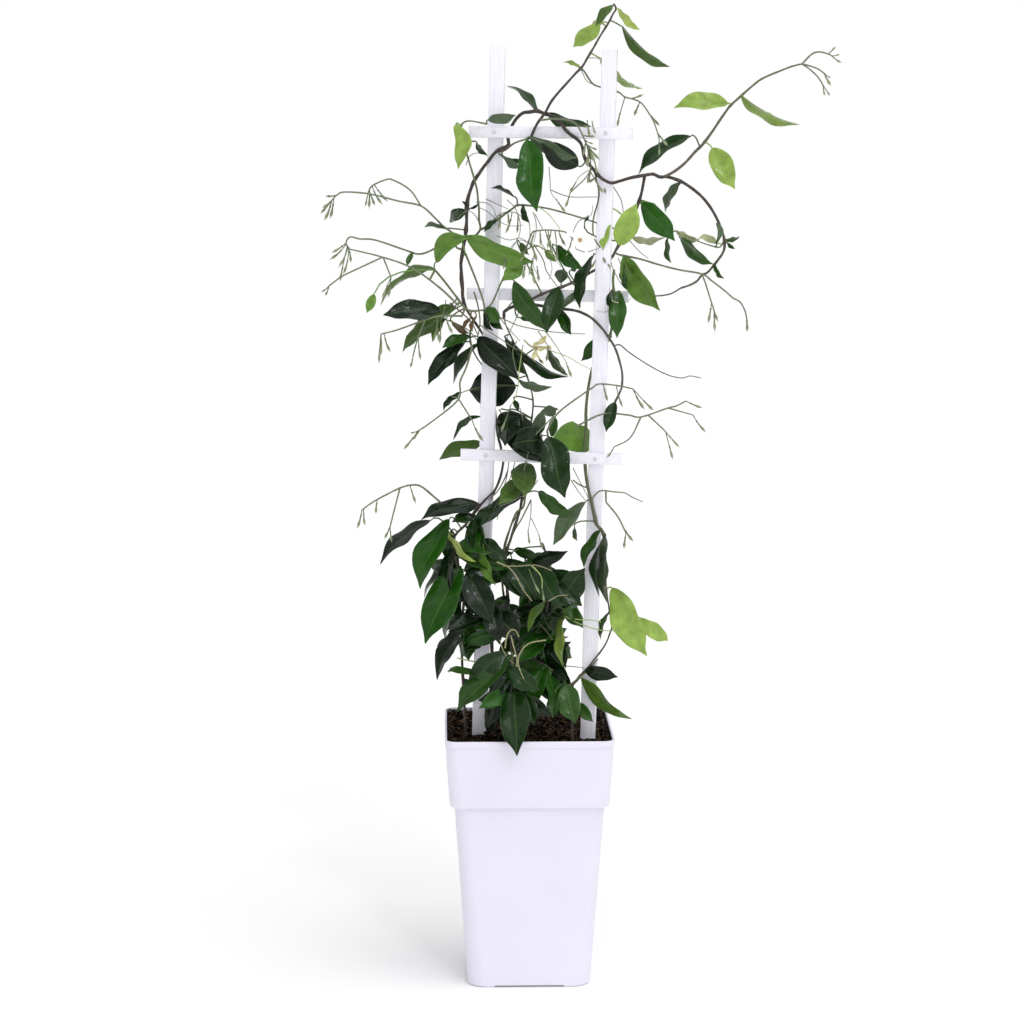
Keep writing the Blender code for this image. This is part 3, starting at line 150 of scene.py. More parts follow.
# Round solid along a line: point = line + radius(t) (side cos a + other sin a), closed by a point
# at each end. Lobes give radius (1 + lobeDepth cos(lobes (a + twist t)))
def tube(line, radii, sides=8, tint=None, finish=0, lobes=0, lobeDepth=0.0, twist=0.0):
    line = np.asarray(line, float)
    radii = np.broadcast_to(np.asarray(radii, float), (len(line),))
    heading = unit(np.gradient(line, axis=0))
    deep = abs(unit(line[-1] - line[0])[1]) >= 0.75  # a line that runs in depth is guided upwards
    guide = np.array((0.0, 0.0, 1.0)) if deep else np.array((0.0, 1.0, 0.0))
    side = unit(np.cross(heading, guide))
    other = np.cross(heading, side)
    angle = np.linspace(0, 2 * np.pi, sides, endpoint=False)
    run = np.linspace(0, 1, len(line))
    swell = radii[:, None] * (1 + lobeDepth * np.cos(lobes * (angle[None, :] + twist * run[:, None])))
    turned = angle[None, :, None]
    ring = side[:, None, :] * np.cos(turned) + other[:, None, :] * np.sin(turned)
    co = (line[:, None, :] + ring * swell[:, :, None]).reshape(-1, 3)
    dome = 0.6  # how far an end point stands out, as a share of the radius
    first = line[0] - heading[0] * radii[0] * dome
    last = line[-1] + heading[-1] * radii[-1] * dome
    colours = None
    if tint is not None:
        tint = np.broadcast_to(tint, (len(line), 4))
        colours = np.vstack([np.repeat(tint, sides, axis=0), tint[0], tint[-1]])
    return part(np.vstack([co, first, last]), gridQuads(len(line), sides, True), endFans(len(line), sides),
                tint=colours, finish=finish)


# One mesh object from parts, riding on the root body, and standing for its CAD node
def makePiece(name, parts, finishes, node):
    co, starts = gathered(parts)
    quads = np.vstack([one["quads"] + start for one, start in zip(parts, starts)]).astype(np.int32)
    tris = np.vstack([one["tris"] + start for one, start in zip(parts, starts)]).astype(np.int32)
    loops = np.concatenate([quads.ravel(), tris.ravel()])
    sizes = np.concatenate([np.full(len(quads), 4), np.full(len(tris), 3)]).astype(np.int32)
    finish = np.concatenate([np.full(len(one[faces]), one["finish"])
                             for faces in ("quads", "tris") for one in parts]).astype(np.int32)
    mesh = bpy.data.meshes.new(name)
    mesh.vertices.add(len(co))
    mesh.vertices.foreach_set("co", co.astype(np.float32).ravel())
    mesh.loops.add(len(loops))
    mesh.loops.foreach_set("vertex_index", loops)
    mesh.polygons.add(len(sizes))
    mesh.polygons.foreach_set("loop_start", (np.cumsum(sizes) - sizes).astype(np.int32))
    mesh.polygons.foreach_set("material_index", finish)
    uv = np.vstack([one["uv"] for one in parts])
    mesh.uv_layers.new(name="blade").data.foreach_set("uv", uv[loops].astype(np.float32).ravel())
    tint = np.vstack([one["tint"] for one in parts]).astype(np.float32)
    mesh.attributes.new("tint", "FLOAT_COLOR", "POINT").data.foreach_set("color", tint.ravel())
    for surface in finishes:
        mesh.materials.append(surface)
    mesh.update(calc_edges=True)
    mesh.validate()
    mesh.shade_smooth()
    mesh.set_sharp_from_angle(angle=math.radians(50))
    piece = bpy.data.objects.new(name, mesh)
    bpy.context.scene.collection.objects.link(piece)
    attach(piece, "root")
    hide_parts(node)
    return piece


# Adds one shader node. An input given as (node, output name) is linked, and any other is set
def addNode(surface, kind, inputs=None, **settings):
    tree = surface.node_tree
    made = tree.nodes.new("ShaderNode" + kind)
    for name, value in settings.items():
        setattr(made, name, value)
    for name, value in (inputs or {}).items():
        socket = made.inputs[name]
        if isinstance(value, tuple) and isinstance(value[0], bpy.types.Node):
            tree.links.new(value[0].outputs[value[1]], socket)
        else:
            socket.default_value = value
    return made


# A Principled material, with its plain values on the shader's own sockets
def newSurface(name, **sockets):
    surface = bpy.data.materials.new(name)
    surface.use_nodes = True
    shader = surface.node_tree.nodes["Principled BSDF"]
    for socket, value in sockets.items():
        shader.inputs[socket.replace("_", " ")].default_value = value
    return surface, shader


# Links outputs, each given as (node, output name), to the shader's sockets
def join(surface, shader, **links):
    for socket, (giver, output) in links.items():
        surface.node_tree.links.new(giver.outputs[output], shader.inputs[socket.replace("_", " ")])


# Linear red, green, blue and full alpha of a hex colour
def rgba(hexText):
    return (*linear(hexText), 1.0)


# Texture scale that makes one feature about this many millimetres
def perMetre(sizeInMm):
    return 1000.0 / sizeInMm


# Polypropylene, injection moulded with a satin tool: an even, faintly violet white whose broad
# soft highlight is broken by a fine orange peel. Potting mix clings to its inner wall
pot = {
    "white": "#e8e6f4", "shade": "#e1dfed", "mix": "#1d1511", "roughness": (0.30, 0.39), "peelMm": 1.6,
    "cloudMm": 60.0, "peelHeight": 0.00002, "mixMm": 2.6, "mixTop": 0.2572, "mixFoot": 0.2500,
}


def mouldedPolypropylene():
    surface, shader = newSurface("satin moulded polypropylene", IOR=1.49)
    place = (addNode(surface, "TexCoord"), "Object")
    cloud = addNode(surface, "TexNoise", {"Vector": place, "Scale": perMetre(pot["cloudMm"]),
                                          "Detail": 2.0})
    body = addNode(surface, "Mix",
                   {"Factor": (cloud, "Fac"), "A": rgba(pot["shade"]), "B": rgba(pot["white"])},
                   data_type="RGBA")
    peel = addNode(surface, "TexNoise", {"Vector": place, "Scale": perMetre(pot["peelMm"]),
                                         "Detail": 3.0})
    bump = addNode(surface, "Bump",
                   {"Height": (peel, "Fac"), "Strength": 0.5, "Distance": pot["peelHeight"]})
    smoothest, dullest = pot["roughness"]
    gloss = addNode(surface, "MapRange", {"Value": (cloud, "Fac"), "From Min": 0.3, "From Max": 0.7,
                                          "To Min": smoothest, "To Max": dullest})
    inside = addNode(surface, "Attribute", attribute_name="inside")
    level = addNode(surface, "SeparateXYZ", {"Vector": place})
    depth = addNode(surface, "MapRange", {"Value": (level, "Z"), "From Min": pot["mixFoot"],
                                          "From Max": pot["mixTop"], "To Min": 0.5, "To Max": 0.08})
    crumbs = addNode(surface, "TexNoise", {"Vector": place, "Scale": perMetre(pot["mixMm"]),
                                           "Detail": 5.0, "Roughness": 0.65})
    reach = addNode(surface, "Math", {0: (crumbs, "Fac"), 1: (depth, "Result")}, operation="ADD")
    cling = addNode(surface, "MapRange", {"Value": (reach, "Value"), "From Min": 0.62, "From Max": 0.66})
    smear = addNode(surface, "Math", {0: (cling, "Result"), 1: (inside, "Fac")}, operation="MULTIPLY")
    whole = addNode(surface, "Mix",
                    {"Factor": (smear, "Value"), "A": (body, "Result"), "B": rgba(pot["mix"])},
                    data_type="RGBA")
    join(surface, shader, Base_Color=(whole, "Result"), Roughness=(gloss, "Result"),
         Normal=(bump, "Normal"))
    return surface


# Peat potting mix, damp and crumbly: near black brown, paler where a crumb has dried, with bits of
# brown fibre
soil = {
    "damp": "#040302", "dry": "#140e0a", "fibre": "#86694f", "roughness": 0.95, "specular": 0.08,
    "crumbMm": 3.0, "grainMm": 0.7, "grainHeight": 0.0008,
}


def pottingSoil():
    surface, shader = newSurface("damp peat potting mix", Roughness=soil["roughness"],
                                 Specular_IOR_Level=soil["specular"])
    place = (addNode(surface, "TexCoord"), "Object")
    crumb = addNode(surface, "TexVoronoi", {"Vector": place, "Scale": perMetre(soil["crumbMm"])})
    grain = addNode(surface, "TexNoise", {"Vector": place, "Scale": perMetre(soil["grainMm"]),
                                          "Detail": 4.0})
    dry = addNode(surface, "MapRange", {"Value": (grain, "Fac"), "From Min": 0.42, "From Max": 0.72})
    base = addNode(surface, "Mix",
                   {"Factor": (dry, "Result"), "A": rgba(soil["damp"]), "B": rgba(soil["dry"])},
                   data_type="RGBA")
    speck = addNode(surface, "MapRange", {"Value": (crumb, "Distance"), "From Min": 0.62, "From Max": 0.74,
                                          "To Max": 0.55})
    whole = addNode(surface, "Mix",
                    {"Factor": (speck, "Result"), "A": (base, "Result"), "B": rgba(soil["fibre"])},
                    data_type="RGBA")
    bump = addNode(surface, "Bump",
                   {"Height": (grain, "Fac"), "Strength": 0.8, "Distance": soil["grainHeight"]})
    join(surface, shader, Base_Color=(whole, "Result"), Normal=(bump, "Normal"))
    return surface


# Spruce lath, sawn and brushed with thin whitewash: chalky, with the grain's darker lines where
# the wash is thin, and the wood's warmth showing through in worn patches
lath = {
    "wash": "#f8f7ff", "thin": "#edebf8", "wood": "#c4b8ab", "roughness": 0.72, "specular": 0.3,
    "grainMm": 0.8, "grainStretch": 0.03, "blotchMm": 14.0, "grainHeight": 0.00006, "worn": 0.15,
}


# Grain along the lath: noise squeezed by grainStretch along the lath's length, which a crossbar
# has along x and an upright along z
def whitewashedSpruce(name, acrossTurn):
    surface, shader = newSurface(name, Roughness=lath["roughness"], Specular_IOR_Level=lath["specular"])
    place = (addNode(surface, "TexCoord"), "Object")
    turned = addNode(surface, "Mapping", {"Vector": place, "Rotation": (0, acrossTurn, 0)})
    stretched = addNode(surface, "Mapping",
                        {"Vector": (turned, "Vector"), "Scale": (1, 1, lath["grainStretch"])})
    grain = addNode(surface, "TexNoise",
                    {"Vector": (stretched, "Vector"), "Scale": perMetre(lath["grainMm"]), "Detail": 5.0,
                     "Roughness": 0.6})
    lines = addNode(surface, "MapRange", {"Value": (grain, "Fac"), "From Min": 0.36, "From Max": 0.6})
    blotch = addNode(surface, "TexNoise", {"Vector": place, "Scale": perMetre(lath["blotchMm"]),
                                           "Detail": 3.0})
    worn = addNode(surface, "MapRange", {"Value": (blotch, "Fac"), "From Min": 0.6, "From Max": 0.85,
                                         "To Max": lath["worn"]})
    wash = addNode(surface, "Mix",
                   {"Factor": (lines, "Result"), "A": rgba(lath["thin"]), "B": rgba(lath["wash"])},
                   data_type="RGBA")
    whole = addNode(surface, "Mix",
                    {"Factor": (worn, "Result"), "A": (wash, "Result"), "B": rgba(lath["wood"])},
                    data_type="RGBA")
    bump = addNode(surface, "Bump",
                   {"Height": (grain, "Fac"), "Strength": 0.7, "Distance": lath["grainHeight"]})
    join(surface, shader, Base_Color=(whole, "Result"), Normal=(bump, "Normal"))
    return surface


# Drawn steel wire nail, filmed over by the wash: a pale dull grey metal, browner where it has
# begun to rust
nail = {"steel": "#dddce4", "rust": "#b3a59a", "metal": 0.4, "roughness": 0.55, "blotchMm": 1.5}


def drawnSteel():
    surface, shader = newSurface("dull drawn steel", Metallic=nail["metal"], Roughness=nail["roughness"])
    place = (addNode(surface, "TexCoord"), "Object")
    blotch = addNode(surface, "TexNoise", {"Vector": place, "Scale": perMetre(nail["blotchMm"])})
    rusty = addNode(surface, "MapRange", {"Value": (blotch, "Fac"), "From Min": 0.55, "From Max": 0.75})
    whole = addNode(surface, "Mix",
                    {"Factor": (rusty, "Result"), "A": rgba(nail["steel"]), "B": rgba(nail["rust"])},
                    data_type="RGBA")
    join(surface, shader, Base_Color=(whole, "Result"))
    return surface


# Star jasmine leaf, leathery with a waxy skin: a soft gloss above, with a pale midrib and faint
# arched side veins, and a matt, paler underside. Each leaf brings its own green in `tint`, whose
# alpha is 1 on the upper face and 0 below
leaf = {
    "vein": "#86a35c", "under": "#93a58c", "specular": 0.28, "gloss": 0.13, "matt": 0.5, "uneven": 0.12,
    "veinPairs": 7.0, "veinSlant": 1.3, "sideShare": 0.3, "veinShare": 0.1, "veinHeight": 0.00015,
    "mottleMm": 9.0, "puckerMm": 6.0, "puckerShare": 4.0, "underShare": 0.3,
}


# Side veins run where veinPairs y - veinSlant |x| is near a whole number, over the blade from its
# midrib (x = 0) to its margins (|x| = 1) and from base to tip (y)
def waxyLeaf():
    surface, shader = newSurface("waxy leathery leaf", IOR=1.45, Specular_IOR_Level=leaf["specular"])
    tint = addNode(surface, "Attribute", attribute_name="tint")
    blade = addNode(surface, "UVMap", uv_map="blade")
    split = addNode(surface, "SeparateXYZ", {"Vector": (blade, "UV")})
    centred = addNode(surface, "Math", {0: (split, "X"), 1: 2.0, 2: -1.0}, operation="MULTIPLY_ADD")
    aside = addNode(surface, "Math", {0: (centred, "Value")}, operation="ABSOLUTE")
    slant = addNode(surface, "Math", {0: (aside, "Value"), 1: -leaf["veinSlant"]}, operation="MULTIPLY")
    phase = addNode(surface, "Math", {0: (split, "Y"), 1: leaf["veinPairs"], 2: (slant, "Value")},
                    operation="MULTIPLY_ADD")
    wrapped = addNode(surface, "Math", {0: (phase, "Value"), 1: 0.5}, operation="PINGPONG")
    sideVein = addNode(surface, "MapRange", {"Value": (wrapped, "Value"), "From Min": 0.1, "From Max": 0.0})
    fade = addNode(surface, "MapRange", {"Value": (aside, "Value"), "From Min": 0.95, "From Max": 0.6})
    vein = addNode(surface, "Math", {0: (sideVein, "Result"), 1: (fade, "Result")}, operation="MULTIPLY")
    midrib = addNode(surface, "MapRange", {"Value": (aside, "Value"), "From Min": 0.09, "From Max": 0.03})
    line = addNode(surface, "Math", {0: (vein, "Value"), 1: leaf["sideShare"], 2: (midrib, "Result")},
                   operation="MULTIPLY_ADD", use_clamp=True)
    place = (addNode(surface, "TexCoord"), "Object")
    mottle = addNode(surface, "TexNoise", {"Vector": place, "Scale": perMetre(leaf["mottleMm"]),
                                           "Detail": 3.0})
    shade = addNode(surface, "MapRange", {"Value": (mottle, "Fac"), "From Min": 0.3, "From Max": 0.7,
                                          "To Min": 0.8, "To Max": 1.2})
    green = addNode(surface, "VectorMath", {0: (tint, "Color"), "Scale": (shade, "Result")},
                    operation="SCALE")
    lineShare = addNode(surface, "Math", {0: (line, "Value"), 1: leaf["veinShare"]}, operation="MULTIPLY")
    veined = addNode(surface, "Mix", {"Factor": (lineShare, "Value"), "A": (green, "Vector"),
                                      "B": rgba(leaf["vein"])}, data_type="RGBA")
    below = addNode(surface, "MapRange", {"Value": (tint, "Alpha"), "From Min": 1.0, "From Max": 0.0,
                                          "To Max": leaf["underShare"]})
    whole = addNode(surface, "Mix", {"Factor": (below, "Result"), "A": (veined, "Result"),
                                     "B": rgba(leaf["under"])}, data_type="RGBA")
    gloss = addNode(surface, "MapRange", {"Value": (tint, "Alpha"), "To Min": leaf["matt"],
                                          "To Max": leaf["gloss"]})
    rough = addNode(surface, "Math", {0: (mottle, "Fac"), 1: leaf["uneven"], 2: (gloss, "Result")},
                    operation="MULTIPLY_ADD")
    puckers = addNode(surface, "TexNoise", {"Vector": place, "Scale": perMetre(leaf["puckerMm"]),
                                            "Detail": 2.0})
    quilt = addNode(surface, "Math", {0: (puckers, "Fac"), 1: leaf["puckerShare"]}, operation="MULTIPLY")
    groove = addNode(surface, "Math", {0: (line, "Value"), 1: -1.0, 2: (quilt, "Value")},
                     operation="MULTIPLY_ADD")
    bump = addNode(surface, "Bump",
                   {"Height": (groove, "Value"), "Strength": 0.6, "Distance": leaf["veinHeight"]})
    join(surface, shader, Base_Color=(whole, "Result"), Roughness=(rough, "Value"), Normal=(bump, "Normal"))
    return surface


# Climbing stem: smooth green when young, then brown bark with pale breathing pores. `tint`
# gives its colour by age, and its alpha how woody it is
bark = {"pore": "#9a8f80", "roughness": 0.6, "furrowMm": 1.1, "poreMm": 3.2, "furrowHeight": 0.0004}


def youngAndWoodyBark():
    surface, shader = newSurface("young and woody bark", Roughness=bark["roughness"])
    tint = addNode(surface, "Attribute", attribute_name="tint")
    place = (addNode(surface, "TexCoord"), "Object")
    furrow = addNode(surface, "TexNoise", {"Vector": place, "Scale": perMetre(bark["furrowMm"]),
                                           "Detail": 4.0})
    pores = addNode(surface, "TexVoronoi", {"Vector": place, "Scale": perMetre(bark["poreMm"])})
    pore = addNode(surface, "MapRange", {"Value": (pores, "Distance"), "From Min": 0.25, "From Max": 0.1,
                                         "To Max": 0.6})
    woody = addNode(surface, "Math", {0: (pore, "Result"), 1: (tint, "Alpha")}, operation="MULTIPLY")
    shade = addNode(surface, "MapRange", {"Value": (furrow, "Fac"), "From Min": 0.3, "From Max": 0.7,
                                          "To Min": 0.6, "To Max": 1.4})
    own = addNode(surface, "VectorMath", {0: (tint, "Color"), "Scale": (shade, "Result")},
                  operation="SCALE")
    whole = addNode(surface, "Mix",
                    {"Factor": (woody, "Value"), "A": (own, "Vector"), "B": rgba(bark["pore"])},
                    data_type="RGBA")
    bump = addNode(surface, "Bump",
                   {"Height": (furrow, "Fac"), "Strength": 0.6, "Distance": bark["furrowHeight"]})
    join(surface, shader, Base_Color=(whole, "Result"), Normal=(bump, "Normal"))
    return surface


# Petals and buds: soft, matt plant skin with faint streaks. `tint` gives each its colour from
# root to tip
petal = {"roughness": 0.62, "streakMm": 1.5, "streakHeight": 0.0001}


def softPetal():
    surface, shader = newSurface("soft matt petal", Roughness=petal["roughness"])
    tint = addNode(surface, "Attribute", attribute_name="tint")
    place = (addNode(surface, "TexCoord"), "Object")
    streak = addNode(surface, "TexNoise", {"Vector": place, "Scale": perMetre(petal["streakMm"]),
                                           "Detail": 2.0})
    shade = addNode(surface, "MapRange", {"Value": (streak, "Fac"), "From Min": 0.3, "From Max": 0.7,
                                          "To Min": 0.85, "To Max": 1.12})
    own = addNode(surface, "VectorMath", {0: (tint, "Color"), "Scale": (shade, "Result")},
                  operation="SCALE")
    bump = addNode(surface, "Bump",
                   {"Height": (streak, "Fac"), "Strength": 0.3, "Distance": petal["streakHeight"]})
    join(surface, shader, Base_Color=(own, "Vector"), Normal=(bump, "Normal"))
    return surface


# Pot: a profile of (half width, height) carried round a square with round corners

potSizes = {
    "rim": 0.0844, "bandFoot": 0.0798, "body": 0.0752, "foot": 0.0621, "height": 0.258, "step": 0.190,
    "wall": 0.0022, "floor": 0.0035, "cornerTop": 0.012, "cornerFoot": 0.019, "cornerPoints": 10,
    "footRound": 0.0025, "stepRound": 0.0008, "lip": 0.0062, "lipRound": 0.0009, "lipOut": 0.0006,
    "mouthRound": 0.0006, "floorRound": 0.003, "notch": (0.070, 0.028, 0.004), "notchOut": 0.001,
    "slot": (0.028, 0.005, 0.012), "slotOut": -0.010, "marked": (0.2, 0.2576), "markedDepth": 0.0013,
}


# Profile points on a circle: (half + r cos a, height + r sin a) for a from start to stop degrees
def arc(half, height, radius, start, stop, steps=5):
    angle = np.radians(np.linspace(start, stop, steps))
    return np.stack([half + radius * np.cos(angle), height + radius * np.sin(angle)], axis=1)


# Radius of the pot's rounded corners, falling evenly from cornerFoot to cornerTop with height
def cornerRadius(share):
    return potSizes["cornerFoot"] + (potSizes["cornerTop"] - potSizes["cornerFoot"]) * share


# Rings of a rounded square: a quarter circle at each corner, its radius less by the inset
def squareRings(profile, inset, points):
    corner = cornerRadius(profile[:, 1] / potSizes["height"]) - inset
    corner = np.minimum(corner, profile[:, 0] * 0.98)
    quarter = np.linspace(0, np.pi / 2, points)
    angle = np.concatenate([quarter + turn * np.pi / 2 for turn in range(4)])
    way = np.repeat(np.arange(4) * np.pi / 2 + np.pi / 4, points)
    middle = (profile[:, 0] - corner)[:, None] * math.sqrt(2)
    x = middle * np.cos(way) + corner[:, None] * np.cos(angle)
    y = middle * np.sin(way) + corner[:, None] * np.sin(angle)
    z = np.broadcast_to(profile[:, 1:2], x.shape)
    return np.stack([x, y, z], axis=2)


# Half width of the pot's outside: straight from the foot to the band, and from the band's foot
# to the rim
def outsideHalf(height):
    size = potSizes
    low = size["foot"] + (size["body"] - size["foot"]) * height / size["step"]
    high = size["bandFoot"] + (size["rim"] - size["bandFoot"]) * (height - size["step"]) / (
        size["height"] - size["step"])
    return np.where(height < size["step"], low, high)


# Solid from rings of points, whose first and last ring are closed by a point at their middle
def closedRings(rings):
    rows, columns = rings.shape[:2]
    co = np.vstack([rings.reshape(-1, 3), rings[0].mean(0), rings[-1].mean(0)])
    return part(co, gridQuads(rows, columns, True), endFans(rows, columns))


# Box between middle - size / 2 and middle + size / 2
def boxPart(middle, size):
    square = ((-0.5, -0.5), (0.5, -0.5), (0.5, 0.5), (-0.5, 0.5))
    corners = np.array([(x, y, z) for z in (-0.5, 0.5) for x, y in square])
    quads = np.array([(0, 3, 2, 1), (4, 5, 6, 7), (0, 1, 5, 4), (1, 2, 6, 5), (2, 3, 7, 6), (3, 0, 4, 7)])
    return part(np.array(middle) + corners * np.array(size), quads, np.zeros((0, 3), int))


# Takes the cutters out of the piece and bakes the result into its mesh
def cutAway(piece, cutterParts):
    mesh = bpy.data.meshes.new("cutter")
    co, starts = gathered(cutterParts)
    quads = np.vstack([one["quads"] + start for one, start in zip(cutterParts, starts)])
    mesh.from_pydata(co.tolist(), [], quads.tolist())
    cutter = bpy.data.objects.new("cutter", mesh)
    bpy.context.scene.collection.objects.link(cutter)
    change = piece.modifiers.new("cut", "BOOLEAN")
    change.operation = "DIFFERENCE"
    change.object = cutter
    change.solver = "EXACT"
    change.use_self = True
    graph = bpy.context.evaluated_depsgraph_get()
    whole = bpy.data.meshes.new_from_object(piece.evaluated_get(graph))
    piece.modifiers.clear()
    piece.data = whole
    bpy.data.objects.remove(cutter)
    whole.set_sharp_from_angle(angle=math.radians(35))


# The pot's profile runs up the outside, over the rim and down the inside to the floor. Then a
# notch under each side and a drainage slot inside it are cut out
def makePot(finish):
    size = potSizes
    wall, fillet, rolled = size["wall"], size["stepRound"], size["lipRound"]
    mouth, bottom = size["mouthRound"], size["floorRound"]
    lipFoot = size["height"] - size["lip"]
    outside = np.vstack([
        arc(size["foot"] - size["footRound"], size["footRound"], size["footRound"], -90, 0, 6),
        [[outsideHalf(h), h] for h in (0.02, 0.08, 0.14, 0.184)],
        arc(size["body"] + 0.0006, size["step"] - 2 * fillet, fillet, 180, 100, 4),  # under the band
        arc(size["bandFoot"] - fillet, size["step"], fillet, -80, 0, 5),  # the band's lower edge
        [[outsideHalf(h), h] for h in (0.2, 0.22, 0.24)],
        [[outsideHalf(lipFoot) - size["lipOut"], lipFoot - 0.0010]],  # a small groove under the lip
        arc(size["rim"] - rolled, lipFoot + 0.0002, rolled, -60, 0, 4),
        arc(size["rim"] - rolled, size["height"] - rolled, rolled, 0, 90, 5),
    ])
    inside = np.vstack([
        arc(size["rim"] - wall + mouth, size["height"] - mouth, mouth, 90, 180, 4),
        [[outsideHalf(h) - wall, h] for h in (0.24, 0.2, size["step"] + 0.002)],
        [[size["body"] - wall, size["step"] - 0.003]],
        [[outsideHalf(h) - wall, h] for h in (0.12, 0.05)],
        arc(size["foot"] - wall - bottom, size["floor"] + bottom, bottom, 0, -90, 5),
    ])
    profile = np.vstack([outside, inside])
    inset = np.concatenate([np.zeros(len(outside)), np.full(len(inside), wall)])
    rings = squareRings(profile, inset, size["cornerPoints"])
    piece = makePiece("plasticPot", [closedRings(rings)], [finish], "pot")
    cutters = []
    for x, y in ((0, -1), (1, 0), (0, 1), (-1, 0)):
        for (wide, deep, high), out in ((size["notch"], size["notchOut"]), (size["slot"], size["slotOut"])):
            reach = size["foot"] + out
            across = (wide, deep, high) if x == 0 else (deep, wide, high)
            cutters.append(boxPart((x * reach, y * reach, 0), across))
    cutAway(piece, cutters)
    markInside(piece.data)


# Attribute `inside` = 1 on the pot's inner wall near the top, where potting mix clings, and 0
# elsewhere
def markInside(mesh):
    co = np.empty(len(mesh.vertices) * 3, np.float32)
    mesh.vertices.foreach_get("co", co)
    x, y, z = co.reshape(-1, 3).T
    corner = cornerRadius(z / potSizes["height"])
    straight = outsideHalf(z) - corner
    overX, overY = np.abs(x) - straight, np.abs(y) - straight
    past = np.hypot(np.maximum(overX, 0), np.maximum(overY, 0)) + np.minimum(np.maximum(overX, overY), 0)
    low, high = potSizes["marked"]
    inside = (corner - past > potSizes["markedDepth"]) & (z > low) & (z < high)
    mesh.attributes.new("inside", "FLOAT", "POINT").data.foreach_set("value", inside.astype(np.float32))


# Soil: a rough surface inside the pot's wall, with crumbs lying on it

soilSizes = {
    "top": 0.250, "foot": 0.0041, "gap": 0.0004, "rough": 0.0026, "bank": 0.0045, "tilt": 0.0012,
    "rings": 44, "cornerPoints": 24, "waves": (60, 0.06, 0.003), "crumbs": 900, "spread": 0.94,
    "smallest": 0.0007, "largest": 0.0042, "flatness": (0.35, 0.8), "sunk": 0.25,
}


# Random plane waves: 2 pi / length along x and y, phase and length, the lengths in even steps of
# ratio
def waves(count, longest, shortest):
    way = chance.uniform(0, 2 * np.pi, count)
    length = np.geomspace(longest, shortest, count)
    phase = chance.uniform(0, 2 * np.pi, count)
    return np.cos(way) * 2 * np.pi / length, np.sin(way) * 2 * np.pi / length, phase, length


# Sum over the waves of length^0.7 cos(kx x + ky y + phase), scaled to about -1 to 1
def roughness(x, y, field):
    waveX, waveY, phase, length = field
    height = length**0.7
    total = np.cos(x[..., None] * waveX + y[..., None] * waveY + phase) @ height
    return total / (1.6 * math.sqrt(np.sum(height**2)))


# Top + rough * roughness + tilt y / edge + bank e^(-12 (1 - max(|x|, |y|) / edge)), without the
# bank along the front
def groundHeight(x, y, field):
    size = soilSizes
    edge = outsideHalf(size["top"]) - potSizes["wall"]
    bank = size["bank"] * np.exp(-12 * np.clip(1 - np.maximum(np.abs(x), np.abs(y)) / edge, 0, 1))
    bank = bank * ease(-1.0, -0.7, y / edge) * (0.8 + 0.25 * np.sin(x * 90) + 0.2 * np.sin(y * 140 + 1))
    return size["top"] + size["rough"] * roughness(x, y, field) + size["tilt"] * y / edge + bank


# Twelve points of an icosahedron of radius 1, and its faces: the triples of points that all lie
# one edge apart, turned to face outwards
def icosahedron():
    golden = (1 + math.sqrt(5)) / 2
    corners = np.array([(0, a, b * golden) for a in (-1, 1) for b in (-1, 1)]) / math.sqrt(1 + golden**2)
    corners = np.vstack([np.roll(corners, turn, axis=1) for turn in range(3)])
    gaps = np.linalg.norm(corners[:, None] - corners[None], axis=2)
    edge = np.min(gaps[gaps > 0.01]) * 1.05
    near = (gaps < edge) & (gaps > 0.01)
    first, second, third = np.nonzero(near[:, :, None] & near[:, None, :] & near[None])
    keep = (first < second) & (second < third)
    faces = np.stack([first[keep], second[keep], third[keep]], axis=1)
    a, b, c = (corners[faces[:, column]] for column in range(3))
    inward = np.sum(np.cross(b - a, c - a) * (a + b + c), axis=1) < 0
    faces[inward] = faces[inward][:, ::-1]
    return corners, faces


# Crumbs: flattened icosahedra with uneven corners, each turned about z and laid on the ground
def crumbPart(edge, field):
    corners, faces = icosahedron()
    count, smallest = soilSizes["crumbs"], soilSizes["smallest"]
    spot = chance.uniform(-soilSizes["spread"], soilSizes["spread"], (count, 2)) * edge
    size = smallest + (soilSizes["largest"] - smallest) * chance.random((count, 1)) ** 3
    stretch = np.hstack([size, size * chance.uniform(0.6, 1.0, (count, 1)),
                         size * chance.uniform(*soilSizes["flatness"], (count, 1))])
    turn = chance.uniform(0, 2 * np.pi, count)
    shape = corners[None] * stretch[:, None, :] * chance.uniform(0.8, 1.2, (count, len(corners), 1))
    x = shape[..., 0] * np.cos(turn)[:, None] - shape[..., 1] * np.sin(turn)[:, None]
    y = shape[..., 0] * np.sin(turn)[:, None] + shape[..., 1] * np.cos(turn)[:, None]
    ground = groundHeight(spot[:, 0], spot[:, 1], field)
    z = shape[..., 2] + (ground + size[:, 0] * soilSizes["sunk"])[:, None]
    co = np.stack([x + spot[:, :1], y + spot[:, 1:], z], axis=2)
    tris = (faces[None] + (np.arange(count) * len(corners))[:, None, None]).reshape(-1, 3)
    return part(co.reshape(-1, 3), np.zeros((0, 4), int), tris)


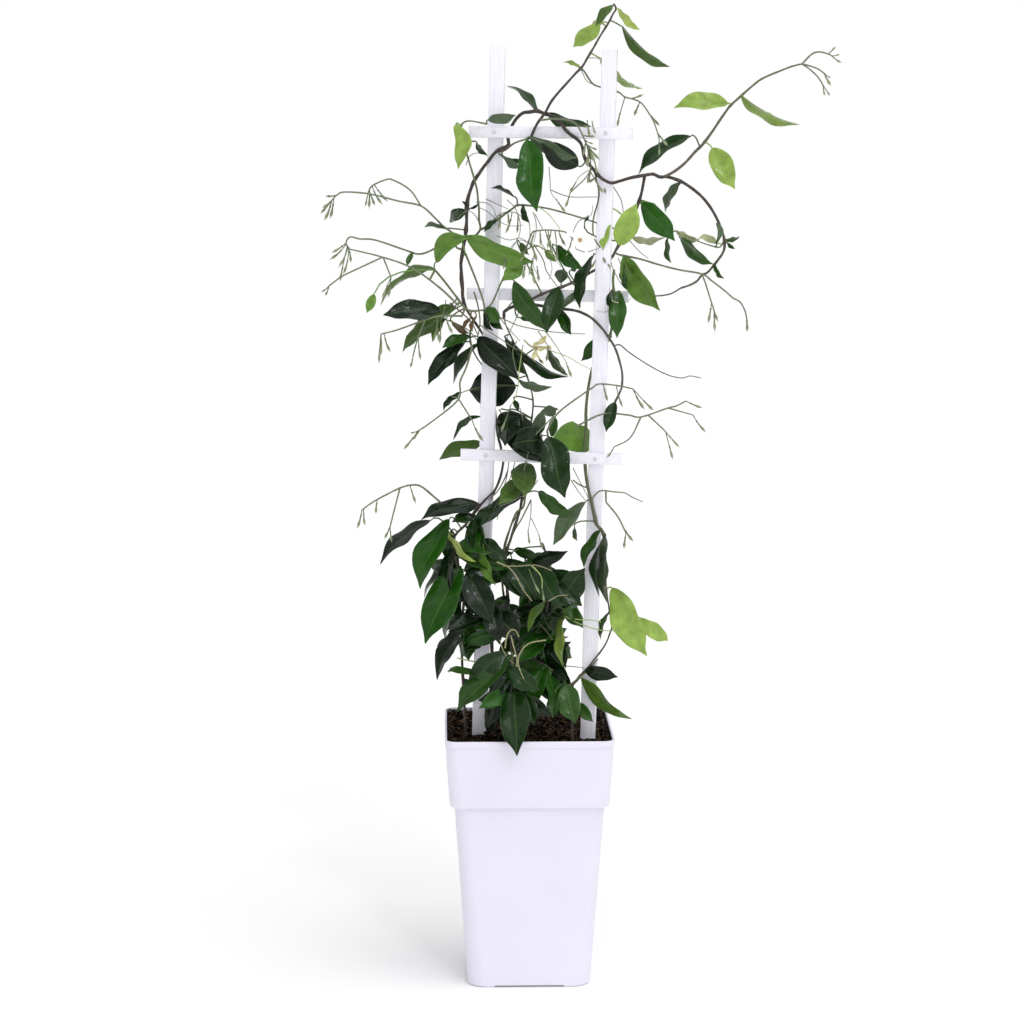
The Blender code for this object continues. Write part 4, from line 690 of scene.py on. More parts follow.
# The soil fills the pot from its floor, a gap inside the wall, and its top is a grid of rings that
# shrink to the middle and follow the ground's height
def makeSoil(finish):
    field = waves(*soilSizes["waves"])
    gap = potSizes["wall"] + soilSizes["gap"]
    underBand = [potSizes["body"] - potSizes["wall"] - 0.0008, potSizes["step"] - 0.0026]
    low = np.array([[outsideHalf(h) - gap, h] for h in (soilSizes["foot"], 0.06, 0.12)] + [underBand]
                   + [[outsideHalf(h) - gap, h] for h in (0.1926, 0.244)])
    share = np.linspace(1, 0.012, soilSizes["rings"])
    edge = outsideHalf(soilSizes["top"]) - gap
    top = np.stack([edge * share, np.full(len(share), soilSizes["top"])], axis=1)
    rings = squareRings(np.vstack([low, top]), gap, soilSizes["cornerPoints"])
    surface = rings[len(low):]
    surface[:, :, 2] = groundHeight(surface[:, :, 0], surface[:, :, 1], field)
    makePiece("pottingMix", [closedRings(rings), crumbPart(edge, field)], [finish], "soil")


# Ladder of laths and its nails

ladder = {
    "foot": (-0.0015, -0.0205, 0.0), "lean": math.radians(1.6), "turn": math.radians(-11.0),
    "lathWidth": 0.015, "lathThick": 0.006, "stakeAcross": 0.0553, "stakeFoot": 0.060,
    "stakeTops": {"left": 0.940, "right": 0.937}, "barLength": 0.162, "barWidth": 0.0115,
    "barThick": 0.005, "barTilt": math.radians(1.0), "behind": ("middle",),
    "bars": {"top": 0.8555, "middle": 0.6955, "low": 0.5355},
    "gap": 0.0003, "edgeRound": 0.0008, "stations": 90, "sawn": 0.00013, "sawStep": 0.0021, "bow": 0.0004,
    "nailHead": 0.0021, "nailHeadThick": 0.0008, "nailShank": 0.0008, "nailLength": 0.0092, "nailSides": 14,
}


# Rotation matrix about the y or the z axis
def turnedAbout(axis, angle):
    c, s = math.cos(angle), math.sin(angle)
    if axis == "y":
        return np.array(((c, 0, s), (0, 1, 0), (-s, 0, c)))
    return np.array(((c, -s, 0), (s, c, 0), (0, 0, 1)))


ladderTurn = turnedAbout("z", ladder["turn"]) @ turnedAbout("y", ladder["lean"])


# World points of points in the ladder's own frame, whose origin is its foot
def fromLadder(points):
    return points @ ladderTurn.T + np.array(ladder["foot"])


# Sawn lath: a rounded rectangle carried along its length, which is the longest side of size. It is
# moved by bow sin(2 pi t + start) sin(pi t) and by a fine wave of saw marks
def lathPart(size, middle, turn):
    run = int(np.argmax(size))
    wide, thick = [axis for axis in range(3) if axis != run]
    halfWide, halfThick, halfRun = size[wide] / 2, size[thick] / 2, size[run] / 2
    edge = ladder["edgeRound"]
    quarter = np.linspace(0, np.pi / 2, 4)
    angle = np.concatenate([quarter + step * np.pi / 2 for step in range(4)])
    signs = np.repeat([(1, 1), (-1, 1), (-1, -1), (1, -1)], 4, axis=0)
    section = np.stack([signs[:, 0] * (halfWide - edge) + edge * np.cos(angle),
                        signs[:, 1] * (halfThick - edge) + edge * np.sin(angle)], axis=1)
    between = np.linspace(0.004, 1 - 0.004, ladder["stations"])
    stations = np.concatenate([[0, 0.0012], between, [1 - 0.0012, 1]])
    t = stations[:, None]
    shrink = np.ones_like(t)
    shrink[[0, -1]] = 1 - edge * 0.7 / halfWide  # the sawn ends are a little worn
    co = np.zeros((len(stations), len(section), 3))
    co[:, :, run] = (t * 2 - 1) * halfRun
    saw = ladder["sawn"] * np.sin(t * 2 * halfRun / ladder["sawStep"] + section[None, :, 0] / 0.0013
                                  + 2 * np.sin(t * 37))
    saw = saw * np.sin(t * 19 + angle[None] * 2)
    start = chance.uniform(0, 6.28)
    bow = ladder["bow"] * np.sin(np.pi * stations * 2 + start)[:, None] * np.sin(np.pi * stations)[:, None]
    co[:, :, wide] = section[None, :, 0] * shrink + saw * np.cos(angle)[None] + bow
    co[:, :, thick] = section[None, :, 1] * shrink + saw * np.sin(angle)[None] * 0.6
    rings = co if (run, wide, thick) in ((2, 0, 1), (0, 1, 2), (1, 2, 0)) else co[:, ::-1]
    made = closedRings(rings)
    made["co"] = fromLadder(made["co"] @ turnedAbout("y", turn).T + np.array(middle))
    return made


# Wire nail: a profile of (radius, depth) turned about the way it was driven in, with a head of a
# low dome, a shank and a point
def nailPart(middle, facing):
    head, thick = ladder["nailHead"], ladder["nailHeadThick"]
    shank, length = ladder["nailShank"], ladder["nailLength"]
    profile = np.array([
        (0.2 * head, -thick), (0.7 * head, -0.92 * thick), (0.95 * head, -0.65 * thick),
        (head, -0.4 * thick), (0.95 * head, -0.12 * thick), (shank * 1.1, 0), (shank, 0.0006),
        (shank, length * 0.8), (shank * 0.3, length * 0.97),
    ])
    sides = ladder["nailSides"]
    angle = np.linspace(0, 2 * np.pi, sides, endpoint=False)
    radius, depth = profile[:, :1], np.broadcast_to(profile[:, 1:], (len(profile), sides))
    rings = np.stack([radius * np.cos(angle), -facing * depth, radius * np.sin(angle)], axis=2)
    if facing < 0:
        rings = rings[:, ::-1]
    made = closedRings(rings)
    made["co"] = fromLadder(made["co"] + np.array(middle))
    return made


# Two stakes, and each bar before or behind them with a nail at each crossing
def makeLadder(stakeFinish, barFinish, nailFinish):
    sides = {"left": -ladder["stakeAcross"], "right": ladder["stakeAcross"]}
    for side, across in sides.items():
        top = ladder["stakeTops"][side]
        size = (ladder["lathWidth"], ladder["lathThick"], top - ladder["stakeFoot"])
        stake = lathPart(size, (across, 0, (top + ladder["stakeFoot"]) / 2), 0)
        makePiece(f"{side}Stake", [stake], [stakeFinish], f"stake_{side}")
    for name, height in ladder["bars"].items():
        facing = 1 if name in ladder["behind"] else -1
        standOff = facing * ((ladder["lathThick"] + ladder["barThick"]) / 2 + ladder["gap"])
        size = (ladder["barLength"], ladder["barThick"], ladder["barWidth"])
        bar = lathPart(size, (0, standOff, height), -ladder["barTilt"])
        makePiece(f"{name}Bar", [bar], [barFinish], f"bar_{name}")
        outside = standOff + facing * (ladder["barThick"] / 2 + ladder["gap"])
        for side, across in sides.items():
            driven = nailPart((across, outside, height + across * math.sin(ladder["barTilt"])), facing)
            title, node = f"{name}{side.title()}Nail", f"nail_{name}_{side}"
            makePiece(title, [driven], [nailFinish], node)


# Shares of a leaf's length (widthShare, arch, curl, sway) and of its half width (ripple, droop),
# with thicknesses and widths in metres and baseOut in mm
leafShape = {
    "widthShare": 0.42, "rows": 19, "columns": 9, "fold": (math.radians(11), math.radians(26)),
    "twist": math.radians(18), "arch": 0.07, "curl": 0.05, "sway": 0.02, "ripple": 0.13, "beat": (1.4, 2.6),
    "wave": 0.085, "lopsided": 0.06, "droop": 0.10, "grooveDeep": 0.0003, "grooveWide": 0.0011,
    "thick": 0.00032, "marginSide": 0.6, "baseOut": 2.0, "shades": (0.78, 1.25),
    "stalk": 0.00075, "spineTip": 0.00012, "spineUnder": 0.0006, "spinePoints": 8, "stalkPoints": 5,
    "stalkSag": 0.45, "midrib": "#7d9458", "midribShare": 0.25,
}

# What each leaf's colour letter stands for, from the youngest to the oldest growth. g is the grey-green of a
# leaf
# # seen from below, and on some leaves it is a painted highlight: a paler, greyer green for the silvery
# glare on their gloss
leafTints = {
    "p": "#acb188", "y": "#a1b45c", "l": "#89a44c", "a": "#5c7f32", "o": "#4b672c", "m": "#2a4b1a",
    "g": "#4e5e46", "G": "#1f4c0d", "d": "#14300c", "k": "#0c1c0c", "b": "#614e34",
}
# Bark by age: wood, young brown shoot, olive shoot and the greyer green of a flower spray, then
# the pale green, straw and cream of fine strands
stemTints = {
    "w": "#3a302b", "y": "#564e45", "o": "#5d6b44", "s": "#6c755b", "l": "#9dae6c", "k": "#97946c",
    "c": "#c9c8b4",
}


# For each place, the point of the sampled routes that looks nearest to it
def nearest(lines, across, up):
    samples = np.vstack(lines)
    gaps = np.hypot(samples[None, :, 0] - across[:, None], samples[None, :, 1] - up[:, None])
    return samples[np.argmin(gaps, axis=1)]


# Half width of a leaf as a share of its widest: sin(pi t^0.9)^0.68, drawn in to a drip tip over
# the last quarter
def bladeWidth(share):
    body = np.sin(np.pi * np.clip(share, 0, 1) ** 0.9)
    return np.clip(body, 0, 1) ** 0.68 * (1 - 0.5 * ease(0.76, 0.97, share))


# Even steps of angle from low to high of a half turn, so that points crowd towards the ends:
# (1 - cos(pi step)) / 2
def crowded(low, high, count):
    return (1 - np.cos(np.pi * np.linspace(low, high, count))) / 2


# Faces of one blade: an upper grid, a lower grid that shares its margins, and fans to a point at
# each end
def bladeTemplate(rows, columns):
    upper = np.arange(rows * columns).reshape(rows, columns)
    below = rows * columns + np.arange(rows * (columns - 2)).reshape(rows, columns - 2)
    lower = np.hstack([upper[:, :1], below, upper[:, -1:]])
    base = rows * columns + rows * (columns - 2)
    tip = base + 1
    quads, tris = [], []
    for grid, turned in ((upper, False), (lower, True)):
        corners = [grid[:-1, :-1], grid[:-1, 1:], grid[1:, 1:], grid[1:, :-1]]
        face = np.stack([corner.ravel() for corner in corners], axis=1)
        quads.append(face[:, ::-1] if turned else face)
        start = np.stack([grid[0, 1:], grid[0, :-1], np.full(columns - 1, base)], axis=1)
        end = np.stack([grid[-1, :-1], grid[-1, 1:], np.full(columns - 1, tip)], axis=1)
        tris += [start[:, ::-1], end[:, ::-1]] if turned else [start, end]
    return np.vstack(quads), np.vstack(tris)


# Folded and arched blades with rippled margins. For share t along and s across, a point is
# base + along L t + normal (arch L sin pi t + half |s| sin fold + ripple)
# + across (half s cos fold + bend sin pi t), the last two turned by the twist
def leafParts(lines, table, tints):
    leaves = np.array([tuple(row) + (0,) * (7 - len(row)) for row in table], float)
    baseAcross, baseUp, tipAcross, tipUp, seen, reach, bend = leaves.T
    shape = leafShape
    foot = nearest(lines, baseAcross, baseUp)
    root = sight(foot)
    base = sight(np.stack([baseAcross, baseUp, foot[:, 2] + np.copysign(shape["baseOut"], reach)], axis=1))
    tip = sight(np.stack([tipAcross, tipUp, foot[:, 2] + reach], axis=1))
    length = np.linalg.norm(tip - base, axis=1)
    way = unit(tip - base)
    width = np.maximum(np.abs(seen) * mm, shape["widthShare"] * length)
    toEye = unit(np.array(view["eye"]) - base)
    facing = unit(toEye - way * along(toEye, way))
    beside = np.cross(way, facing)
    roll = np.copysign(np.arccos(np.abs(seen) * mm / width), seen)[:, None]
    normal = facing * np.cos(roll) + beside * np.sin(roll)
    across = np.cross(way, normal)
    rows, columns = shape["rows"], shape["columns"]
    t = crowded(0.06, 0.965, rows)[None, :, None]
    s = np.sin(np.linspace(-np.pi / 2, np.pi / 2, columns))[None, None, :]
    long = length[:, None, None]
    count = len(leaves)

    def draw(low, high):
        return chance.uniform(low, high, (count, 1, 1))

    fold, phase, beat = draw(*shape["fold"]), draw(0, 2 * np.pi), draw(*shape["beat"])
    flutter = np.sin(2 * np.pi * beat * 0.6 * t + phase * 2 + np.sign(s) * 1.3)
    uneven = 1 + shape["wave"] * flutter + shape["lopsided"] * s * draw(-1, 1)
    half = (width[:, None, None] / 2) * bladeWidth(t) * uneven
    swell = np.sin(np.pi * t)
    turn = shape["twist"] * draw(-1, 1) * (t - 0.4)
    sideways = half * s * np.cos(fold)
    ripple = shape["ripple"] * half * np.sin(2 * np.pi * beat * t + phase + np.sign(s) * 0.9) * s**2
    groove = -shape["grooveDeep"] * np.exp(-(half * s / shape["grooveWide"]) ** 2)
    folded = half * np.abs(s) ** 1.15 * np.sin(fold) - half * shape["droop"] * np.abs(s) ** 4
    lift = folded + ripple + groove
    rise = shape["arch"] * long * swell - shape["curl"] * long * draw(-0.3, 1) * np.sin(2 * np.pi * t) * t
    sway = shape["sway"] * long * draw(-1, 1) * np.sin(2 * np.pi * t)
    out = sideways * np.cos(turn) - lift * np.sin(turn) + bend[:, None, None] * mm * swell + sway
    up = sideways * np.sin(turn) + lift * np.cos(turn) + rise
    middle = base[:, None, None, :] + way[:, None, None, :] * (long * t)[..., None]
    sheet = middle + across[:, None, None, :] * out[..., None] + normal[:, None, None, :] * up[..., None]
    thick = shape["thick"] * (1 - np.abs(s) ** 3) * np.ones_like(t)
    thick = (thick * np.clip(half / 0.004, 0.25, 1))[..., None]
    upper = sheet + normal[:, None, None, :] * thick
    lower = (sheet - normal[:, None, None, :] * thick)[:, :, 1:-1]
    ends = np.stack([base, tip], axis=1)
    co = np.concatenate([upper.reshape(count, -1, 3), lower.reshape(count, -1, 3), ends], axis=1)
    quads, tris = bladeTemplate(rows, columns)
    size = co.shape[1]
    starts = (np.arange(count) * size)[:, None, None]
    # both faces carry the same places, so that a vein runs through
    place = np.stack(np.broadcast_arrays((s + 1) / 2, t), axis=3)[0]
    uv = np.concatenate([place.reshape(-1, 2), place[:, 1:-1].reshape(-1, 2), [[0.5, 0.0], [0.5, 1.0]]])
    margin = shape["marginSide"]
    upperSide = np.ones((rows, columns))
    upperSide[:, [0, -1]] = margin
    side = np.concatenate([upperSide.ravel(), np.zeros(rows * (columns - 2)), [margin, margin]])
    green = np.array([linear(leafTints[letter]) for letter in tints])
    green = green * chance.uniform(*shape["shades"], (count, 1))
    tint = np.concatenate([np.broadcast_to(green[:, None, :], (count, size, 3)),
                           np.broadcast_to(side[None, :, None], (count, size, 1))], axis=2)
    allQuads, allTris = (quads[None] + starts).reshape(-1, 4), (tris[None] + starts).reshape(-1, 3)
    parts = [part(co.reshape(-1, 3), allQuads, allTris, np.tile(uv, (count, 1)), tint.reshape(-1, 4),
                  finish=1)]
    # leaf stalks, which run on under the blade as the midrib
    picked = np.linspace(0, rows - 3, shape["spinePoints"]).astype(int)
    spine = sheet[:, picked, columns // 2] - normal[:, None] * shape["spineUnder"]
    gap = np.linalg.norm(base - root, axis=1)
    bow = base - way * (gap * shape["stalkSag"])[:, None]
    step = np.linspace(0, 1, shape["stalkPoints"] + 1)[None, :-1, None]
    stalk = root[:, None] * (1 - step) ** 2 + 2 * bow[:, None] * step * (1 - step) + base[:, None] * step**2
    radii = np.concatenate([np.full(shape["stalkPoints"], shape["stalk"]),
                            np.linspace(shape["stalk"] * 0.7, shape["spineTip"], shape["spinePoints"])])
    share = shape["midribShare"]
    for number in range(count):
        line = np.vstack([stalk[number], spine[number]])
        pale = np.append(green[number] * (1 - share) + linear(shape["midrib"]) * share, 0.0)
        parts.append(tube(line, radii, 6, pale))
    return parts, root


# Radii of 2.35 mm and more are two stems twined about each other, one turn in 50 mm
twining = {
    "from": 2.35, "turn": 0.05, "shares": (0.8, 0.42), "parted": (0.45, 0.72), "joined": 0.92,
    "closest": 0.05, "joinReach": 0.016, "soilUp": 240, "spray": 1.2, "knot": 0.28, "knotReach": 0.0026,
    "woody": {"w": 1.0, "y": 0.6, "o": 0.1},
}


# The point of any other shoot's stem nearest to this root, or None past joinReach or where a
# sibling holds it
def whereItSprings(name, root, siblings):
    if siblings and np.linalg.norm(np.vstack(siblings) - root, axis=1).min() < 0.001:
        return None
    others = np.vstack([line for (shoot, _), line in stemWorld.items() if shoot != name])
    gaps = np.linalg.norm(others - root, axis=1)
    return others[np.argmin(gaps)] if gaps.min() < twining["joinReach"] else None


# Tapered tubes along the routes, swollen where leaves leave. The oldest are two stems twined about
# each other: each is offset by side cos w + other sin w, w growing by 2 pi each turn, until they
# run as one
def stemParts(name, lines, shoot, leafRoots):
    parts = []
    ages = shoot.get("bark", "").split() or ["ss"] * len(lines)
    for number, (line, stem, age) in enumerate(zip(lines, shoot["stems"], ages)):
        thick, thin = stem[0] * mm, stem[1] * mm
        points = line
        grounded = stem[2][0][1] < twining["soilUp"]
        join = None if grounded else whereItSprings(name, line[0], lines[:number])
        if join is not None and np.linalg.norm(join - line[0]) > 0.0002:
            points = np.vstack([join, join * 0.45 + line[0] * 0.55, line])
        run = np.linspace(0, 1, len(points))
        heights = np.array([point[1] for point in smooth(stem[2])])
        slim = np.interp(heights, *np.array(shoot.get("slim", [(0, 1)])).T)
        slim = np.concatenate([np.full(len(points) - len(slim), slim[0]), slim])
        radii = (thick + (thin - thick) * run) * slim
        radii = radii * (twining["spray"] if name.startswith("spray") else 1)
        radii = radii * (1 + 0.06 * np.sin(run * 61 + thick * 9000) + 0.04 * np.sin(run * 143))
        if len(leafRoots):
            gaps = np.linalg.norm(points[:, None] - leafRoots[None], axis=2).min(1)
            radii = radii * (1 + twining["knot"] * np.exp(-((gaps / twining["knotReach"]) ** 2)))
        old, new = (linear(stemTints[letter]) for letter in age)
        woody = np.array([twining["woody"].get(letter, 0) for letter in age])
        colour = old + (new - old) * ease(0.1, 1.0, run)[:, None]
        tint = np.hstack([colour, (woody[0] + (woody[1] - woody[0]) * run)[:, None]])
        if stem[0] < twining["from"]:
            parts.append(tube(points, radii, 8, tint))
            continue
        heading = unit(np.gradient(points, axis=0))
        side = unit(np.cross(heading, (0, 1, 0)))
        other = np.cross(heading, side)
        length = np.concatenate([[0], np.cumsum(np.linalg.norm(np.diff(points, axis=0), axis=1))])
        apart = 1 - ease(*twining["parted"], run)
        for start, share in zip((0, np.pi), twining["shares"]):
            wide = share + (twining["joined"] - share) * (1 - apart) if start == 0 else share
            angle = (length / twining["turn"] * 2 * np.pi + start)[:, None]
            away = (radii * (1 - wide) * np.maximum(apart, twining["closest"]))[:, None]
            offset = (side * np.cos(angle) + other * np.sin(angle)) * away
            parts.append(tube(points + offset, radii * wide, 8, tint))
    return parts


# A bud's length is in mm, and share is the most of its reach that the swollen part takes
budShape = {
    "length": 17.0, "share": 0.8, "base": "#606c4b", "middle": "#7f8a66", "tip": "#a0a788", "stalk": 0.0005,
    "sides": 8, "rings": 9, "bow": 0.04, "drop": -1.2, "fullAt": 0.012, "scales": (0.6, 1.05),
    "growth": (0.85, 1.12), "shades": (0.85, 1.15), "lobes": 4, "lobeDepth": 0.1, "twist": 4.0,
}


# Slender twisted buds: a stalk, a small cup, then radius 0.5 + 0.75 e^-((t - 0.6) / 0.24)^2 mm
# drawn in to a point
def budParts(lines, table, more):
    shape = budShape
    parts = []
    ends = [sight(np.array(pair, float)) for pair in more]
    if table:
        buds = np.array(table, float)
        foot = nearest(lines, buds[:, 0], buds[:, 1])
        tips = sight(np.stack([buds[:, 2], buds[:, 3], foot[:, 2] + buds[:, 4]], axis=1))
        ends += list(zip(sight(foot), tips))
    low, mid, high = (linear(shape[key]) for key in ("base", "middle", "tip"))
    for root, tip in ends:
        span = np.linalg.norm(tip - root)
        swollen = min(shape["length"] * mm, shape["share"] * span)
        start = 1 - swollen / span
        rise = np.linspace(0.03, 1, shape["rings"])
        t = np.concatenate([np.linspace(0, start, 3), start + (1 - start) * rise])
        sideways = np.array((chance.uniform(-1, 1), chance.uniform(-1, 1), shape["drop"]))
        sideways = sideways * shape["bow"] * span
        line = root + (tip - root) * t[:, None] + sideways * np.sin(np.pi * t)[:, None]
        body = np.clip((t - start) / (1 - start), 0, 1)
        scale = np.clip(swollen / shape["fullAt"], *shape["scales"]) * chance.uniform(*shape["growth"])
        bulb = (0.5 + 0.75 * np.exp(-((body - 0.6) / 0.24) ** 2)) * (1 - ease(0.66, 1.05, body)) + 0.08
        cup = 0.4 * np.exp(-((body - 0.05) / 0.05) ** 2)
        radii = np.where(t <= start, shape["stalk"], (bulb + cup) * mm * scale)
        rise = body[:, None]
        colour = np.where(rise < 0.5, low + (mid - low) * rise * 2, mid + (high - mid) * (rise * 2 - 1))
        tint = np.hstack([colour * chance.uniform(*shape["shades"]), np.zeros((len(t), 1))])
        parts.append(tube(line, radii, shape["sides"], tint, finish=2, lobes=shape["lobes"],
                          lobeDepth=shape["lobeDepth"], twist=shape["twist"]))
    return parts


# Hair-thin stalks and tendrils: smooth tubes that thin to two thirds
def fineParts(table):
    parts = []
    for letter, thick, rootDepth, tipDepth, places in table:
        route = smooth(places)
        line = sight(np.column_stack([route, np.linspace(rootDepth, tipDepth, len(route))]))
        run = np.linspace(0, 1, len(line))
        tint = np.append(linear(stemTints[letter]) * chance.uniform(*budShape["shades"]), 0)
        parts.append(tube(line, thick * mm * (1 - 0.33 * run), 6, tint))
    return parts


# Inner leaves of the bushy foot: more leaves like those of the table, at random along the same
# stems. Angles are in radians and lengths in mm
inner = {
    "length": (32, 54), "angle": (-2.9, 0.9), "reach": (-10, 26), "roll": 0.9, "stalk": (2, 7),
    "bend": (-2, 2), "letters": "ddkdGmdGmk", "triesEach": 12,
}


# True where a ray to the right crosses the outline an odd number of times
def insideOutline(across, up, outline):
    x, y = np.array(outline, float).T
    x2, y2 = np.roll(x, -1), np.roll(y, -1)
    crosses = (y[None] > up[:, None]) != (y2[None] > up[:, None])
    reach = x[None] + (up[:, None] - y[None]) / np.where(y2 == y, 1e-9, y2 - y)[None] * (x2 - x)[None]
    return np.sum(crosses & (across[:, None] < reach), axis=1) % 2 == 1


# Rows as in the leaf table: base = stem place, tip = base + length (cos a, sin a) where that falls
# in the outline
def innerLeaves(lines, filler):
    samples = np.vstack(lines)
    low, high = filler["up"]
    samples = samples[(samples[:, 1] > low) & (samples[:, 1] < high)]
    tries = filler["count"] * inner["triesEach"]
    base = samples[chance.integers(0, len(samples), tries)]
    angle = chance.uniform(*inner["angle"], tries)
    length = chance.uniform(*inner["length"], tries)
    reach = chance.uniform(*filler.get("reach", inner["reach"]), tries)
    level = np.sqrt(np.maximum(length**2 - reach**2, 100))
    stalk = chance.uniform(*inner["stalk"], tries)
    across, up = base[:, 0] + stalk * np.cos(angle), base[:, 1] + stalk * np.sin(angle)
    tipAcross, tipUp = across + level * np.cos(angle), up + level * np.sin(angle)
    seen = leafShape["widthShare"] * length * np.cos(chance.uniform(-inner["roll"], inner["roll"], tries))
    seen = seen * chance.choice((-1, 1), tries)
    bend = chance.uniform(*inner["bend"], tries)
    rows = np.stack([across, up, tipAcross, tipUp, seen, reach, bend], axis=1)
    rows = rows[insideOutline(tipAcross, tipUp, filler["outline"])][: filler["count"]]
    letters = "".join(chance.choice(list(inner["letters"]), len(rows)))
    return rows, letters


# One piece for each shoot: its leaves, stems, buds and fine strands
def makeShoot(name, shoot, finishes):
    lines = [smooth(stem[2]) for stem in shoot["stems"]]
    parts, roots = [], np.zeros((0, 3))
    if "leaves" in shoot:
        leaves, roots = leafParts(lines, shoot["leaves"], shoot["tints"])
        parts += leaves
    if "inner" in shoot:
        parts += leafParts(lines, *innerLeaves(lines, shoot["inner"]))[0]
    parts += stemParts(name, [stemWorld[name, number] for number in range(len(lines))], shoot, roots)
    if "buds" in shoot or "moreBuds" in shoot:
        parts += budParts(lines, shoot.get("buds"), shoot.get("moreBuds", []))
    if "fine" in shoot:
        parts += fineParts(shoot["fine"])
    title = "".join(word.title() for word in name.split("_"))
    makePiece(title[0].lower() + title[1:], parts, finishes, name)


# Shoots, laid out in the view's millimetres. One shoot is one piece, and stands for the CAD node of
# its name. It has some of these:
# stems are (thick, thin, places): the radii at the foot and at the tip in mm, and the route's places
# (across, up, depth);
# bark has a pair of bark letters for each stem, from foot to tip;
# slim is (up, share) pairs that make a stem thinner at that height;
# leaves are (base across, base up, tip across, tip up, seen width, reach of the tip in depth, and
# where the blade bends aside, by how much), and tints has a colour letter for each;
# inner asks for a number of leaves more, between two heights and with their tips inside an outline;
# buds are (root across, root up, tip across, tip up, reach);
# moreBuds are (root, tip) pairs of places;
# fine strands are (bark letter, radius, depth at the root, depth at the tip, places (across, up))

bushOutline = [(-96, 428), (-66, 478), (-43, 468), (-23, 443), (12, 428), (47, 416), (62, 413), (60, 373),
    (47, 348), (44, 298), (32, 263), (-20, 253), (-48, 263), (-60, 298), (-86, 323), (-92, 388)]

shoots = {}

shoots["twiner_left"] = {
    "stems": [
        (2.6, 2.0, [(-33, 222, 20), (-33, 250, 20), (-34, 288, 20), (-36, 328, 19), (-37, 368, 19),
            (-41, 403, 20), (-49, 438, 19), (-55, 468, 12), (-50, 480, 2), (-43, 488, 0), (-33, 498, -1),
            (-28, 511, 1), (-25, 525, 7), (-27, 540, 13), (-31, 556, 19), (-33, 578, 19), (-36, 609, 19),
            (-39, 640, 19), (-48, 658, 18), (-58, 673, 13), (-64, 685, 8), (-66, 703, 6), (-67, 723, 4),
            (-65, 738, 2), (-62, 758, 2), (-61, 783, 2), (-59, 793, 2), (-55, 805, 2), (-48, 816, 1),
            (-41, 825, 0), (-34, 834, -1), (-28, 839, -1), (-20, 843, 3), (-20, 850, 8), (-18, 858, 8),
            (-15, 864, 5), (-11, 870, 3), (-5, 875, 1), (2, 876, 0), (9, 877, -1), (15, 875, -3),
            (21, 873, -5), (27, 870, -10), (32, 866, -15), (37, 859, -19), (42, 854, -19), (50, 848, -19),
            (54, 842, -19), (56, 832, -19), (60, 825, -19), (66, 818, -20), (72, 811, -21),
            (78, 807, -23), (84, 805, -22), (92, 807, -17), (102, 810, -12), (112, 812, -10),
            (124, 814, -10)]),
        (1.3, 0.9, [(-29, 837, -1), (-23, 838, -6), (-15, 844, -14), (-8, 847, -15), (-1, 849, -15)]),
        (1.0, 0.8, [(66, 818, -20), (69, 806, -21), (71, 796, -20), (70, 786, -19), (67, 776, -17),
            (65, 766, -16), (65, 756, -17), (67, 748, -18), (72, 741, -20)]),
    ],
    "bark": "ww yo yo",
    "slim": [(250, 0.75), (465, 0.7), (490, 0.5), (670, 0.6), (700, 0.85), (900, 0.85)],
    "leaves": [(10, 876, -22, 902, 6, 30), (-28, 833, -4, 828, 5, -24), (-24, 830, -7, 820, 8, -14),
        (-1, 848, 9, 776, 30, -22), (50, 822, 13, 845, 24, -6), (2, 851, 50, 830, 15, -16),
        (19, 875, 74, 858, 15, 10), (-61, 776, -79, 767, 12, 34), (-83, 760, -104, 761, 6, -16),
        (-12, 602, -59, 598, 38, 24), (-61, 782, -66, 787, 3, -6), (-58, 779, -50, 784, 3, -6),
        (-55, 748, -46, 734, 6, 14)],
    "tints": "ddgGkgmdgkkkg",
    "fine": [
        ("y", 0.6, 0, -6, [(-24, 526), (-27, 510), (-33, 496), (-40, 482)]),
        ("y", 0.5, -2, -8, [(-19, 527), (-22, 508), (-29, 490), (-35, 476)]),
        ("o", 0.5, -8, -14, [(-13, 526), (-17, 512), (-23, 496), (-28, 480), (-31, 468)]),
    ],
}

shoots["shoot_top"] = {
    "stems": [
        (1.4, 0.8, [(3, 851, -12), (9, 864, -12), (17, 875, -10), (23, 886, -8), (30, 895, -7),
            (39, 905, -6), (48, 915, -6), (54, 921, -7), (60, 931, -8), (66, 941, -9), (71, 950, -10),
            (76, 958, -12), (81, 966, -14), (85, 974, -17), (88, 979, -19), (86, 984, -22)]),
    ],
    "bark": "wy",
    "leaves": [(85, 983, 68, 962, 9, -12), (72, 964, 45, 941, 16, 8), (76, 966, 60, 957, 7, 20),
        (90, 979, 112, 958, 8, -10), (94, 961, 142, 921, 10, -14), (73, 929, 115, 899, 9, 30),
        (52, 921, 35, 926, 4, 10)],
    "tints": "olpyoll",
    "fine": [
        ("s", 0.45, -16, -14, [(53, 919), (58, 908), (64, 904), (73, 901)]),
        ("s", 0.45, -16, -14, [(60, 930), (68, 930), (73, 928)]),
    ],
}

